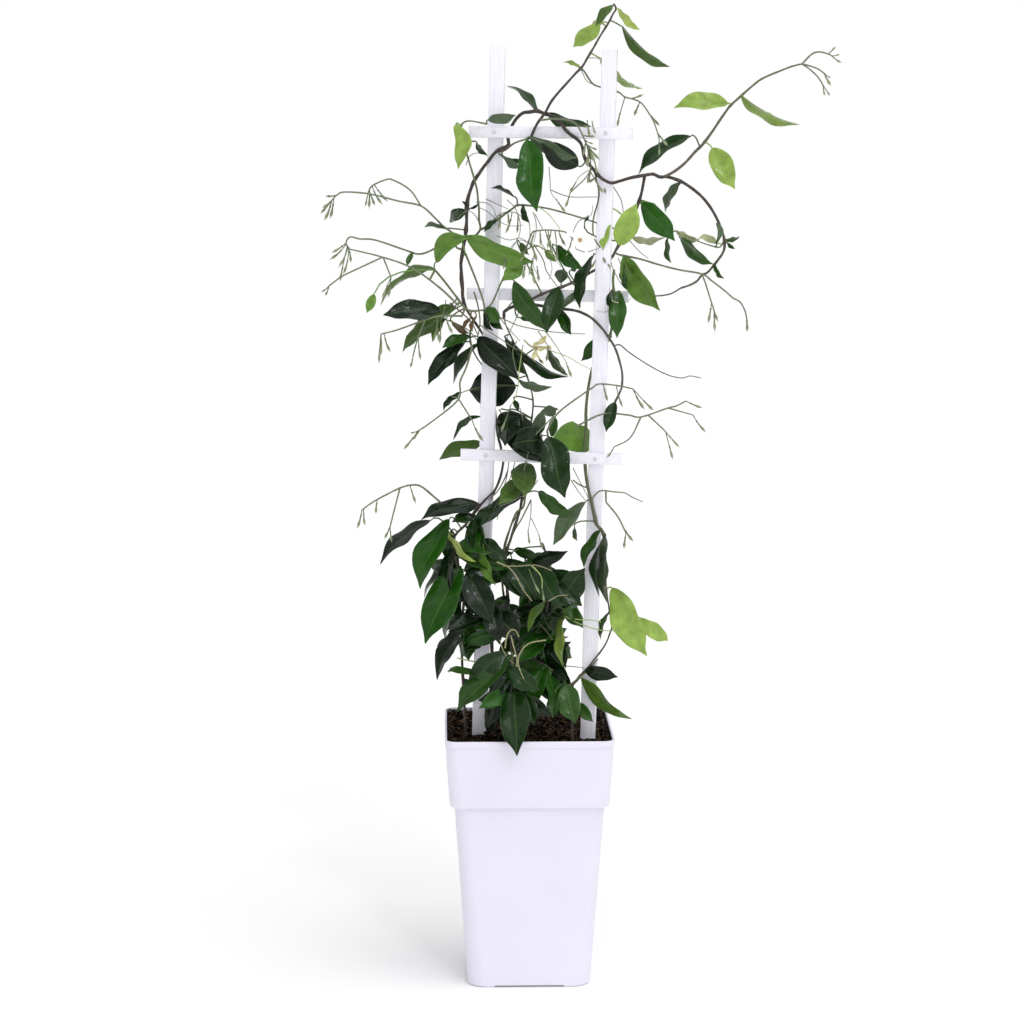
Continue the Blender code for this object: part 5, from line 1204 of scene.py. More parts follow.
shoots["shoot_upper_left"] = {
    "stems": [
        (1.1, 0.8, [(-57, 748, 6), (-48, 758, 4), (-49, 768, 3), (-49, 778, 1), (-50, 788, -2),
            (-51, 798, -3), (-54, 810, -3), (-57, 820, -2), (-60, 830, -1), (-64, 845, 0), (-66, 855, -1),
            (-67, 860, -2), (-65, 865, -2), (-58, 867, -2), (-41, 864, -3)]),
        (1.2, 0.7, [(-48, 758, 4), (-38, 763, 1), (-31, 768, 0), (-23, 774, 0), (-16, 779, 0),
            (-8, 783, 0), (17, 780, -2), (37, 775, -4), (57, 769, -4), (72, 764, -3), (97, 756, -4)]),
    ],
    "bark": "os os",
    "leaves": [(-40, 868, -12, 873, 11, -6), (-72, 864, -70, 819, 17, -8, -8),
        (-52, 846, -41, 833, 6, -18), (-6, 782, 1, 765, 7, -14), (-31, 769, -44, 756, 6, -10),
        (-14, 792, -37, 800, 4, -12)],
    "tints": "gldddd",
    "fine": [
        ("o", 0.5, 0, -4, [(-34, 769), (-25, 775), (-16, 776), (-10, 774), (-6, 771)]),
        ("s", 0.45, 0, -6, [(-52, 786), (-42, 785), (-35, 780), (-32, 772)]),
        ("s", 0.45, 0, -4, [(-42, 789), (-31, 784), (-20, 779)]),
        ("s", 0.45, 0, -6, [(-62, 823), (-58, 832), (-50, 835), (-40, 832)]),
        ("s", 0.45, 0, -6, [(-48, 764), (-54, 774), (-62, 777), (-71, 769)]),
    ],
}

shoots["branch_right"] = {
    "stems": [
        (1.5, 0.9, [(138, 812, -14), (147, 817, -11), (157, 825, -4), (167, 836, 4), (175, 844, 8),
            (184, 856, 14), (192, 868, 20), (199, 878, 24), (203, 883, 26), (213, 892, 30),
            (222, 900, 34), (232, 908, 38), (242, 913, 42), (252, 917, 46), (262, 921, 50),
            (271, 923.5, 54)]),
    ],
    "bark": "yo",
    "leaves": [(200, 885, 146, 880, 19, -16), (213, 892, 272, 863, 9, -12), (162, 852, 110, 813, 14, 18),
        (184, 840, 207, 799, 24, -18)],
    "tints": "lldl",
}

shoots["loop_right"] = {
    "stems": [
        (1.7, 1.0, [(126.5, 813.5, -10), (132, 811, -10), (140, 811, -9), (152, 807, -7), (162, 801, -5),
            (172, 793, -3), (180, 784, 0), (187, 773, 2), (192, 762, 4), (196, 750, 5), (196, 738, 5),
            (190, 728, 4), (180, 716, 2), (174, 713, 0), (169, 707, -1), (162, 703, -2), (153, 700, -3)]),
        (0.8, 0.6, [(153, 700, -3), (142, 694, -3), (127, 692, -3), (112, 693, -4), (105, 694, -4),
            (101, 698, -5)]),
        (0.7, 0.5, [(196, 748, 5), (192, 741, 0), (184, 742, -4), (172, 746, -6), (162, 750, -6),
            (147, 757, -6)]),
    ],
    "bark": "wy ys oo",
    "leaves": [(189, 745, 188, 765, 6, -30), (197, 748, 212, 751, 5, 10), (199, 745, 207, 739, 4, -8),
        (190, 745, 170, 750, 8, -20), (148, 757, 172, 748, 8, -14), (152, 750, 185, 724, 12, -22),
        (186, 724, 196, 709, 5, -10), (152, 805, 137, 775, 10, 26), (139, 750, 143, 725, 6, -14)],
    "tints": "mmmppmmgm",
    "fine": [
        ("y", 0.5, -10, -6, [(82, 806), (88, 797), (93, 788), (95, 778), (96, 766)]),
    ],
}

shoots["shoot_centre"] = {
    "stems": [
        (1.5, 1.3, [(116, 808, -6), (113, 793, -6), (108, 778, -5), (106, 768, -5), (102, 760, -5),
            (96, 752, -5), (92, 745, -6), (88, 738, -6), (84, 731, -6), (77, 725, -5), (72, 721, -4),
            (60, 714, -4), (50, 708, -5), (34, 701, -6), (22, 697, -5), (12, 693, -4), (2, 688, -3)]),
    ],
    "bark": "wy",
    "leaves": [(114, 785, 147, 747, 22, -20), (112, 788, 136, 775, 10, 14), (104, 751, 137, 750, 8, 14),
        (91, 743, 109, 785, 24, -20), (28, 742, 56, 718, 14, -20), (65, 733, 52, 679, 12, -20),
        (30, 701, 19, 655, 20, -20), (49, 695, 35, 679, 8, -10), (33, 705, 34, 719, 14, 14),
        (80, 776, 75, 738, 14, -12), (57, 766, 60, 773, 3, -6), (43, 718, 49, 720, 6, -4),
        (31, 675, 43, 655, 12, -12), (-8, 745, 1, 733, 7, -12)],
    "tints": "GlplGddggldgGo",
}

shoots["trailing_right"] = {
    "stems": [
        (1.0, 0.7, [(92, 733, -9), (112, 729, -10), (132, 723, -10), (152, 718, -8), (174, 714, -7),
            (184, 707, -6), (197, 697, -4), (205, 690, -2), (212, 686, 0), (217, 677, 2), (219, 668, 3)]),
        (0.8, 0.7, [(174, 714, -7), (178, 703, -8), (182, 690, -8), (186, 678, -8)]),
    ],
    "bark": "ss ss",
    "leaves": [(95, 731, 132, 677, 26, -24), (96, 726, 99, 698, 6, -20)],
    "tints": "am",
    "buds": [(218, 672, 219, 656, 2), (186, 679, 187, 656, -2), (185, 682, 190, 666, 4),
        (184, 685, 180, 664, -4)],
    "fine": [
        ("s", 0.45, -9, -4, [(82, 731), (84, 722), (88, 713), (94, 703), (102, 696), (112, 693)]),
        ("s", 0.45, -6, -4, [(101, 748), (112, 736), (120, 730)]),
        ("s", 0.4, -10, -20, [(90, 730), (94, 720), (96, 708), (101, 698)]),
    ],
}

shoots["climber_right"] = {
    "stems": [
        (2.3, 1.6, [(44, 222, -14), (44, 253, -14), (44, 288, -14), (44, 302, -15), (49, 308, -16),
            (54, 314, -18), (60, 320, -20), (66, 328, -21), (77, 343, -20), (82, 355, -17),
            (84, 363, -16), (81, 380, -15), (78, 403, -15), (78, 418, -18), (77, 435, -21),
            (75, 455, -21), (69, 463, -21), (66, 473, -21), (63, 488, -20), (60, 500, -19),
            (58, 513, -13), (57, 526, -9), (57, 545, -9), (58, 560, -9), (58, 578, -9), (60, 598, -7),
            (64, 618, -4), (72, 636, -4), (81, 650, -5), (84, 662, -8), (86, 672, -14), (86, 690, -15),
            (85, 708, -14), (86, 718, -13)]),
        (0.9, 0.6, [(63, 488, -20), (72, 497, -23), (87, 496, -20), (97, 495, -16), (104, 491, -14),
            (115, 486, -12)]),
        (1.0, 0.7, [(60, 500, -19), (52, 503, -17), (45, 508, -16)]),
    ],
    "bark": "yo os ss",
    "slim": [(250, 0.75), (300, 0.75), (335, 0.42), (400, 0.4), (430, 0.55), (470, 0.85), (800, 0.8)],
    "leaves": [(92, 696, 89, 650, 19, -16), (83, 697, 82, 680, 6, -16), (83, 651, 53, 627, 14, 12),
        (57, 486, 25, 443, 16, -14), (46, 460, 49, 447, 5, -10), (72, 458, 56, 420, 11, -12),
        (77, 454, 80, 384, 12, -12, -5), (72, 443, 71, 391, 8, -14), (84, 400, 119, 332, 30, -24),
        (112, 370, 140, 347, 17, 16), (80, 375, 72, 348, 6, -8), (53, 310, 104, 269, 14, -20),
        (57, 318, 90, 311, 16, -20)],
    "tints": "mdmggmgdllmak",
    "fine": [
        ("c", 0.5, -22, -22, [(83, 691), (85, 687), (92, 685), (99, 686), (103, 690)]),
        ("c", 0.4, -20, -16, [(84, 692), (82, 685), (84, 678), (76, 676), (68, 677)]),
        ("y", 0.5, -16, -20, [(84, 398), (85, 388), (84, 373), (83, 358), (78, 344), (71, 333)]),
        ("o", 0.7, -20, -24, [(70, 329), (63, 321), (56, 314), (48, 308), (40, 302)]),
        ("o", 0.5, -20, -16, [(45, 520), (52, 506), (60, 491)]),
        ("o", 0.5, -20, -16, [(43, 508), (50, 497), (57, 488)]),
        ("o", 0.6, -18, -14, [(58, 518), (60, 503), (64, 488), (68, 473), (73, 458)]),
    ],
}

shoots["crossing_stem"] = {
    "stems": [
        (1.9, 1.2, [(-24, 676, 2), (-20, 679, 1), (-13, 682, 0), (-6, 684, 0), (2, 684, 0), (20, 681, -2),
            (35, 679, -4), (44, 678, -6), (52, 676, -8), (62, 671, -14), (70, 664, -20), (76, 657, -21),
            (81, 650, -20), (86, 642, -17), (90, 632, -14), (94, 616, -12), (94, 603, -12),
            (92, 596, -13), (87, 586, -16)]),
        (0.8, 0.6, [(86, 642, -17), (92, 643, -17), (102, 635, -16), (122, 622, -14), (140, 613, -12),
            (154, 610, -10), (162, 612, -9), (173, 610, -8)]),
        (0.9, 0.7, [(-24, 676, 2), (-18, 683, 0), (-10, 693, -2)]),
    ],
    "bark": "wy ys os",
    "slim": [(600, 0.85), (700, 0.85)],
    "leaves": [(32, 678, 43, 653, 11, -14), (87, 586, 78, 556, 13, -14), (-8, 670, 8, 670, 6, -8)],
    "tints": "ddG",
}

shoots["stem_middle"] = {
    "stems": [
        (2.4, 1.5, [(-16, 222, 4), (-16, 250, 4), (-14, 288, 6), (-16, 338, 6), (-20, 388, 4),
            (-23, 428, 2), (-16, 453, 0), (-8, 478, -2), (-5, 500, 1), (-3, 515, 3), (-1, 533, 4),
            (2, 558, 3), (5, 588, 3), (-3, 618, 3), (-13, 643, 4), (-21, 660, 6), (-24, 670, 6)]),
        (1.7, 1.2, [(-6, 222, 10), (-6, 250, 10), (-8, 300, 10), (-12, 340, 12), (-22, 380, 9),
            (-26, 410, 4), (-24, 438, 0), (-13, 473, -6), (-4, 483, -8), (-2, 515, -11)]),
        (1.1, 0.9, [(2, 558, 3), (8, 556, -6), (14, 553, -14), (20, 552, -18)]),
    ],
    "bark": "wy wo os",
    "slim": [(400, 0.8), (520, 0.75), (560, 0.5), (640, 0.45)],
    "leaves": [(-16, 646, 0, 612, 12, -14), (-10, 608, 24, 601, 9, -14), (-23, 650, 41, 611, 12, -18),
        (24, 548, 67, 553, 32, 36), (20, 551, 37, 490, 32, -22), (13, 550, -16, 543, 30, -40),
        (-20, 576, -23, 542, 25, -34), (7, 550, 15, 579, 14, -14), (24, 551, 27, 572, 10, 10),
        (-14, 588, -9, 577, 6, -8), (-3, 525, -3, 491, 27, -40), (-10, 506, -30, 483, 20, -30),
        (10, 496, 45, 474, 15, -24), (-4, 497, -58, 448, 16, -12), (-14, 438, 11, 433, 11, -16),
        (-22, 427, 0, 426, 10, -20), (-28, 420, 4, 388, 20, -18), (-20, 392, -44, 352, 22, -14),
        (-27, 575, 19, 523, 34, -28), (-30, 288, -41, 255, 14, -8), (20, 638, 40, 612, 9, -10),
        (28, 578, 13, 575, 12, -12)],
    # The g leaves here are a painted highlight: their paler, greyer green stands in for the silvery glare on
    # their gloss
    "tints": "dgdadkkgmdoomddddkkkgg",
    "moreBuds": [((11, 453, -20), (15, 438, -22)), ((0, 458, -18), (2, 443, -20))],
    "fine": [
        ("s", 0.45, -24, -28, [(10, 508), (1, 496), (-10, 490), (-20, 485), (-28, 482)]),
        ("s", 0.7, -22, -34, [(26, 572), (17, 563), (9, 555), (3, 543), (-1, 530), (-4, 518)]),
        ("s", 0.5, -14, -18, [(3, 488), (3, 476), (2, 468), (0, 456)]),
        ("s", 0.45, -16, -20, [(3, 470), (7, 462), (11, 453)]),
        ("o", 0.8, 0, 0, [(3, 488), (-6, 470), (-14, 456), (-20, 440)]),
        ("o", 0.6, 4, 0, [(-3, 493), (-11, 473), (-19, 458), (-24, 443), (-25, 432)]),
        ("y", 0.7, 6, 2, [(-20, 518), (-24, 508), (-31, 496), (-40, 488)]),
    ],
}

shoots["shoots_left"] = {
    "stems": [
        (1.1, 0.9, [(-93, 718, -2), (-83, 706, -1), (-73, 693, 0), (-60, 678, 1), (-43, 678, 0)]),
        (1.0, 0.9, [(-62, 733, -3), (-58, 723, -2), (-52, 708, -1), (-46, 691, 0), (-43, 678, 0)]),
        (0.9, 0.8, [(-23, 713, -2), (-28, 703, -1), (-36, 685, 0), (-43, 678, 0)]),
    ],
    "bark": "os os os",
    "leaves": [(-88, 678, -145, 673, 21, -18), (-73, 682, -126, 635, 17, 14),
        (-95, 720, -148, 682, 8, 20, 12), (-92, 726, -58, 750, 20, -10, -10), (-62, 752, 6, 726, 24, -14),
        (-6, 727, -25, 707, 17, -12), (-41, 680, -28, 664, 14, -14), (-14, 707, 19, 657, 20, -16),
        (-44, 676, -35, 657, 7, -14), (-58, 670, -65, 657, 5, -12), (-52, 672, -56, 656, 4, -14),
        (-76, 666, -58, 654, 6, 10), (-38, 670, -25, 658, 9, -16), (-82, 670, -96, 646, 7, -10),
        (-154, 694, -161, 675, 10, -6), (17, 738, 28, 726, 8, -6)],
    "tints": "kooaaammkbbbdoaa",
    "moreBuds": [((-17, 583, -24), (-27, 556, -30)), ((38, 626, -20), (44, 610, -22)),
        ((20, 642, -18), (18, 626, -20))],
    "fine": [
        ("o", 0.8, 6, 0, [(-54, 696), (-50, 682), (-48, 666), (-50, 652)]),
        ("y", 0.8, 0, 0, [(-78, 685), (-67, 676), (-57, 666), (-50, 653)]),
        ("o", 0.7, 0, 0, [(-87, 670), (-73, 665), (-60, 658), (-51, 648)]),
        ("s", 0.6, -4, -14, [(-48, 663), (-38, 656), (-23, 646), (-11, 638)]),
        ("s", 0.55, -4, -18, [(-31, 672), (-18, 666), (-8, 662), (17, 657), (38, 655), (57, 654)]),
        ("s", 0.45, -10, -20, [(17, 657), (24, 648), (32, 636), (38, 626)]),
        ("s", 0.45, -10, -22, [(10, 657), (20, 642), (28, 628), (35, 616)]),
        ("l", 0.45, -16, -22, [(24, 637), (40, 631), (52, 624), (64, 618)]),
        ("s", 0.5, -8, -12, [(-9, 676), (-15, 663), (-21, 650)]),
        ("s", 0.5, -8, -12, [(-28, 670), (-20, 660), (-8, 647)]),
        ("s", 0.5, -10, -20, [(-11, 647), (-15, 638), (-14, 626), (-10, 612)]),
        ("l", 0.55, -14, -24, [(-5, 643), (-7, 630), (-9, 616), (-10, 603), (-13, 590), (-17, 583)]),
        ("s", 0.45, -22, -24, [(-8, 580), (-6, 572), (-5, 567)]),
        ("s", 0.5, 0, -6, [(-82, 688), (-84, 678), (-87, 666)]),
    ],
}

shoots["shoot_left_low"] = {
    "stems": [
        (1.5, 0.9, [(-57, 662, 6), (-58, 650, 7), (-56, 640, 12), (-51, 630, 18), (-45, 620, 20),
            (-43, 602, 20), (-43, 580, 20), (-43, 560, 20), (-46, 546, 20)]),
        (0.9, 0.7, [(-43, 602, 20), (-62, 597, 12), (-76, 591, 4)]),
    ],
    "bark": "yo os",
    "slim": [(500, 0.5), (680, 0.6)],
    "leaves": [(-64, 645, -100, 603, 18, -16), (-58, 652, -86, 640, 11, -20), (-51, 643, -75, 604, 9, 14),
        (-50, 651, -9, 608, 26, -20), (-68, 596, -85, 577, 7, -10), (-48, 572, -75, 548, 7, -10, 6),
        (-46, 545, -89, 528, 17, 14)],
    "tints": "kGdkddo",
}

shoots["bush_left"] = {
    "stems": [
        (1.9, 1.2, [(-62, 222, 0), (-62, 250, 0), (-64, 290, 0), (-66, 330, -4), (-66, 365, -6),
            (-64, 395, -4), (-70, 420, -2), (-75, 448, -2), (-60, 466, -4), (-50, 484, -8)]),
    ],
    "bark": "wy",
    "slim": [(200, 0.8), (500, 0.8)],
    "inner": {"count": 20, "up": (290, 480), "outline": bushOutline},
    "leaves": [(-50, 485, -107, 468, 18, -18), (-98, 468, -148, 423, 14, -22),
        (-79, 469, -108, 399, 26, -16), (-67, 421, -103, 344, 33, -24), (-73, 426, -104, 390, 8, 24),
        (-62, 374, -81, 358, 14, -20), (-62, 366, -91, 308, 16, -14), (-71, 388, -81, 345, 10, 22),
        (-60, 418, -36, 364, 30, -18), (-66, 413, -50, 371, 14, -4), (-81, 456, -52, 426, 7, -14),
        (-47, 447, -32, 402, 11, -16), (-52, 472, -76, 466, 12, -30), (-62, 316, -80, 316, 5, -20),
        (-70, 400, -98, 428, 20, 44), (-66, 350, -92, 322, 18, 40), (-65, 354, -62, 330, 5, -12, 3),
        (-44, 370, -80, 356, 15, -16), (-36, 378, -8, 348, 30, -22), (-38, 388, -28, 343, 20, -20),
        (-48, 448, -20, 428, 16, -14), (-76, 458, -82, 428, 14, 8)],
    "tints": "kkGGdkkdkkyadmddgkkkdd",
}

shoots["bush_centre"] = {
    "stems": [
        (2.0, 1.3, [(-2, 222, 22), (-2, 250, 22), (2, 288, 20), (7, 328, 12), (12, 350, 6), (17, 368, 0),
            (20, 388, -2), (22, 408, -4), (20, 428, -4), (14, 445, -6)]),
        (1.2, 0.9, [(17, 368, 0), (30, 385, -8), (40, 400, -12)]),
        (1.3, 0.9, [(7, 328, 12), (18, 322, 0), (30, 313, -10), (37, 306, -19)]),
    ],
    "bark": "wy yo yo",
    "slim": [(200, 0.8), (500, 0.8)],
    "inner": {"count": 20, "up": (280, 440), "outline": bushOutline},
    "leaves": [(4, 426, 40, 437, 16, -16), (7, 418, 32, 385, 28, -24), (32, 388, 57, 420, 26, -20),
        (17, 387, 0, 356, 9, -16), (36, 376, 35, 321, 9, -22), (50, 376, 34, 376, 20, -36),
        (34, 370, 12, 370, 7, -30), (24, 353, -8, 340, 10, -22), (17, 347, -10, 326, 17, -30),
        (18, 323, 2, 277, 20, -26), (37, 304, 48, 264, 24, -22), (27, 295, 25, 270, 12, -24),
        (49, 284, 65, 266, 12, -16), (38, 382, 55, 360, 17, -24), (20, 416, 54, 382, 30, -20),
        (-16, 428, 8, 388, 28, -12), (24, 348, 38, 320, 16, -20), (24, 316, 40, 308, 10, -18)],
    "tints": "kddalmkGGGmmmmddkk",
    "moreBuds": [((1, 419, -36), (12, 394, -40)), ((14, 400, -36), (16, 386, -38))],
    "fine": [
        ("k", 0.65, -26, -34, [(-31, 426), (-20, 421), (-12, 412), (-6, 400), (4, 387)]),
        ("k", 0.6, -26, -34, [(-25, 422), (-8, 422), (7, 423), (17, 420), (24, 417)]),
        ("l", 0.7, -32, -36, [(4, 422), (11, 415), (14, 408), (14, 399)]),
        ("l", 0.6, -30, -34, [(35, 376), (47, 369), (62, 368), (73, 366)]),
        ("l", 0.6, -30, -34, [(37, 372), (52, 364), (72, 358), (91, 357)]),
        ("k", 0.6, -30, -34, [(21, 387), (30, 392), (40, 393)]),
        ("k", 0.7, -34, -40, [(18, 348), (2, 345), (-6, 338), (-10, 328), (-8, 318), (-4, 309)]),
        ("o", 0.5, -26, -22, [(38, 322), (49, 321), (56, 320)]),
        ("y", 0.5, -20, -20, [(17, 366), (23, 360), (28, 354), (34, 351)]),
        ("y", 0.5, -20, -20, [(12, 364), (19, 356), (25, 348)]),
    ],
}

shoots["bush_front"] = {
    "stems": [
        (1.6, 1.1, [(-12, 222, -16), (-12, 250, -16), (-12, 272, -22), (-14, 298, -30), (-16, 320, -28),
            (-16, 335, -26)]),
    ],
    "bark": "wo",
    "inner": {"count": 8, "up": (270, 335), "outline": bushOutline, "reach": (-22, 10)},
    "leaves": [(-16, 333, -71, 276, 24, -14, -5), (-22, 289, -50, 288, 19, -22),
        (-12, 300, -11, 232, 32, -55), (-20, 336, -62, 298, 24, -8, 3), (-44, 310, -81, 317, 8, -12),
        (-23, 320, 12, 298, 20, -8), (-28, 298, -42, 260, 18, -10), (-8, 298, 7, 262, 20, -16)],
    "tints": "mdddmdkd",
    "fine": [
        ("k", 0.9, -30, -32, [(-23, 340), (-21, 352), (-17, 358), (-12, 357), (-9, 351)]),
        ("k", 0.75, -30, -34, [(-17, 352), (-14, 340), (-11, 328), (-13, 316), (-12, 306), (-10, 296)]),
        ("k", 0.6, -30, -30, [(-28, 348), (-25, 338), (-20, 330), (-14, 324)]),
        ("k", 0.5, -32, -36, [(-11, 323), (-7, 314), (-5, 304)]),
        ("k", 0.5, -32, -36, [(-12, 318), (-9, 308), (-7, 298)]),
        ("k", 0.7, -28, -32, [(-40, 316), (-35, 308), (-28, 305), (-22, 308), (-17, 309)]),
        ("k", 0.6, -28, -32, [(-43, 306), (-34, 302), (-25, 298)]),
        ("l", 0.8, -16, -18, [(-52, 326), (-62, 328), (-71, 330)]),
    ],
}

shoots["bush_back"] = {
    "stems": [
        (1.8, 1.1, [(10, 222, 46), (10, 250, 46), (8, 300, 48), (4, 350, 50), (0, 400, 46),
            (-4, 440, 40)]),
    ],
    "bark": "wy",
    "slim": [(200, 0.8), (500, 0.8)],
    "inner": {"count": 18, "up": (280, 440), "outline": bushOutline},
    "leaves": [(6, 330, -34, 300, 24, 30), (4, 350, 44, 330, 26, 34), (2, 372, -40, 372, 24, 26),
        (0, 395, 38, 385, 26, 30), (-1, 410, -36, 420, 22, 28), (-3, 425, 28, 430, 20, 24),
        (8, 300, 46, 292, 22, 26), (3, 360, 8, 310, 22, 50)],
    "tints": "dmdkdmdd",
}

shoots["spray_left_high"] = {
    "stems": [
        (0.9, 0.6, [(-70, 751, 0), (-78, 757, -2), (-85, 762, -4), (-93, 770, -8), (-107, 782, -14),
            (-130, 787, -22), (-158, 794, -30), (-183, 796, -36), (-191, 793, -38), (-196, 788, -40)]),
        (0.7, 0.6, [(-107, 782, -14), (-118, 798, -6), (-135, 808, 0), (-143, 808, 3), (-156, 802, 8),
            (-160, 795, 10)]),
    ],
    "buds": [(-196, 788, -206, 780, -6), (-195, 789, -208, 774, 4), (-196, 788, -204, 767, -4),
        (-194, 790, -198, 769, 6), (-191, 793, -203, 792, 8), (-156, 802, -145, 783, 3),
        (-153, 804, -140, 786, -5), (-158, 798, -153, 782, 6), (-160, 795, -163, 781, -4),
        (-158, 799, -159, 779, 8)],
}

shoots["spray_left_middle"] = {
    "stems": [
        (0.9, 0.6, [(-71, 740, -4), (-78, 748, -6), (-98, 737, 2), (-110, 734, 6), (-123, 738, 10),
            (-153, 748, 18), (-168, 749, 22), (-178, 751, 24), (-182, 745, 25), (-179, 740, 26)]),
    ],
    "leaves": [(-116, 735, -121, 722, 6, -8)],
    "tints": "m",
    "buds": [(-182, 745, -197, 735, -4), (-182, 744, -199, 728, 6), (-179, 740, -177, 725, 4),
        (-179, 741, -190, 720, -6), (-179, 740, -185, 713, 4), (-180, 742, -188, 706, 0)],
}

shoots["spray_left_long"] = {
    "stems": [
        (0.9, 0.6, [(-70, 683, -8), (-88, 700, -10), (-116, 720, -14), (-146, 731, -18),
            (-179, 739, -22)]),
        (0.7, 0.6, [(-145, 731, -18), (-137, 711, -20)]),
        (0.7, 0.6, [(-145, 731, -18), (-173, 718, -24), (-187, 711, -28), (-199, 702, -32)]),
    ],
    "buds": [(-137, 711, -146, 688, -4), (-137, 711, -140, 690, 5), (-199, 702, -203, 692, 4),
        (-198, 703, -207, 696, -4)],
}

shoots["spray_left_low"] = {
    "stems": [
        (0.9, 0.6, [(-66, 672, -6), (-88, 672, -12), (-103, 668, -16), (-131, 658, -24),
            (-147, 654, -28)]),
        (0.7, 0.6, [(-103, 668, -16), (-111, 647, -18), (-115, 632, -20)]),
    ],
    "buds": [(-147, 654, -149, 624, 4), (-146, 655, -148, 631, -6), (-143, 656, -137, 635, 6),
        (-115, 632, -118, 620, 4), (-110, 649, -107, 627, -6), (-90, 672, -88, 644, -4)],
    "moreBuds": [((-90, 668, -10), (-94, 647, -14)), ((-87, 666, -10), (-88, 644, -12)),
        ((-82, 670, -10), (-75, 654, -14))],
}

shoots["spray_left_foot"] = {
    "stems": [
        (0.9, 0.6, [(-56, 640, -6), (-62, 620, -8), (-68, 606, -9), (-70, 588, -10), (-98, 565, -14),
            (-110, 557, -16)]),
        (0.7, 0.6, [(-70, 590, -10), (-56, 568, -8)]),
    ],
    "buds": [(-110, 557, -125, 538, -4), (-109, 557, -118, 555, 6), (-108, 558, -115, 548, -6),
        (-56, 568, -44, 546, -4)],
}

shoots["spray_top"] = {
    "stems": [
        (0.8, 0.5, [(56, 917, -3), (64, 905, -3), (72, 901, -3), (90, 896, -3), (97, 891, -4),
            (112, 886, -6), (122, 873, -8), (127, 863, -8), (131, 850, -8)]),
    ],
    "buds": [(98, 891, 89, 860, -6), (112, 886, 106, 872, 6), (120, 876, 132, 862, 8),
        (131, 850, 131, 832, 0), (129, 856, 140, 842, -6), (104, 888, 116, 894, -4)],
}

shoots["spray_arch"] = {
    "stems": [
        (0.9, 0.6, [(14, 868, -14), (27, 869, -20), (47, 865, -26), (59, 843, -28)]),
        (0.6, 0.5, [(59, 843, -28), (62, 817, -26), (42, 795, -24)]),
    ],
    "buds": [(56, 848, 66, 844, -4), (58, 845, 70, 838, 3), (59, 843, 72, 828, -5), (59, 842, 66, 826, 4),
        (60, 838, 59, 820, -6), (50, 860, 60, 862, 5), (54, 852, 68, 852, -6), (42, 795, 37, 780, -3),
        (62, 820, 59, 805, 4), (62, 817, 76, 794, -4)],
    "moreBuds": [((59, 868, -26), (62, 850, -30)), ((64, 867, -26), (68, 853, -30)),
        ((58, 848, -28), (55, 832, -32)), ((62, 838, -28), (58, 822, -32)),
        ((66, 830, -28), (69, 814, -32)), ((60, 843, -28), (66, 828, -32))],
}

shoots["spray_centre"] = {
    "stems": [
        (0.7, 0.5, [(0, 745, -10), (4, 755, -11), (8, 757, -11), (20, 758, -12), (37, 756, -14),
            (44, 750, -15)]),
    ],
    "buds": [(13, 756, 13, 742, -5), (17, 757, 23, 738, 5), (23, 757, 19, 739, -6),
        (28, 756, 29, 726, -4), (32, 756, 38, 742, 5), (8, 752, 2, 739, -4), (44, 750, 38, 732, -6),
        (2, 747, -4, 736, 4)],
    "moreBuds": [((20, 757, -12), (24, 731, -14)), ((-2, 726, -18), (-5, 708, -22)),
        ((3, 726, -16), (7, 703, -20)), ((5, 730, -16), (1, 712, -20)), ((9, 722, -16), (11, 706, -20)),
        ((-16, 775, -6), (-23, 754, -12)), ((-10, 774, -6), (-11, 754, -12)),
        ((-28, 773, -6), (-30, 758, -10)), ((-20, 776, -6), (-18, 762, -10)),
        ((28, 789, -18), (38, 775, -22)), ((48, 806, -18), (41, 796, -20)),
        ((72, 814, -18), (59, 805, -22)), ((75, 806, -14), (78, 794, -18)),
        ((72, 738, -12), (78, 724, -18)), ((76, 737, -12), (83, 718, -18)),
        ((70, 733, -12), (63, 719, -18)), ((-20, 733, -14), (-25, 718, -18)),
        ((3, 745, -16), (9, 726, -20)), ((-1, 744, -16), (-8, 726, -20))],
    "fine": [
        ("s", 0.5, -6, -12, [(-7, 783), (-2, 774), (1, 766), (2, 756), (1, 745)]),
        ("s", 0.45, -8, -12, [(5, 776), (8, 766), (8, 756), (6, 746)]),
        ("s", 0.45, -8, -12, [(7, 774), (13, 762), (15, 757)]),
        ("s", 0.6, -12, -4, [(6, 743), (12, 734), (16, 726), (18, 718), (23, 710), (29, 702)]),
        ("s", 0.4, -14, -20, [(1, 745), (-4, 736), (-6, 726), (-2, 718)]),
        ("s", 0.4, -14, -18, [(1, 745), (6, 736), (5, 724), (9, 714)]),
        ("s", 0.4, -10, -14, [(1, 745), (-8, 748), (-16, 742), (-20, 732)]),
        ("s", 0.45, -12, -18, [(21, 821), (22, 808), (23, 796), (28, 788)]),
        ("s", 0.5, -10, -14, [(23, 798), (32, 794), (44, 791), (62, 791), (70, 791)]),
        ("s", 0.4, -12, -18, [(72, 816), (62, 818), (52, 812), (48, 806)]),
        ("s", 0.45, -12, -26, [(59, 771), (51, 767), (46, 758), (45, 748), (48, 739)]),
        ("o", 0.45, -12, -20, [(48, 739), (57, 736), (66, 738), (73, 741)]),
        ("s", 0.4, -12, -18, [(55, 770), (63, 773), (65, 783)]),
        ("s", 0.45, -8, -16, [(-21, 788), (-13, 780), (-8, 766), (-9, 752), (-17, 738), (-25, 726)]),
        ("s", 0.4, -6, -12, [(-50, 781), (-40, 776), (-28, 766), (-16, 762), (-5, 763)]),
        ("l", 0.45, -10, -16, [(8, 783), (20, 774), (30, 762), (33, 756)]),
        ("s", 0.4, -12, -16, [(13, 745), (20, 734), (24, 720), (21, 708)]),
        ("l", 0.4, -12, -16, [(1, 745), (13, 741), (24, 733), (33, 721)]),
        ("s", 0.4, -8, -10, [(-31, 752), (-19, 748), (-8, 750), (1, 745)]),
    ],
}

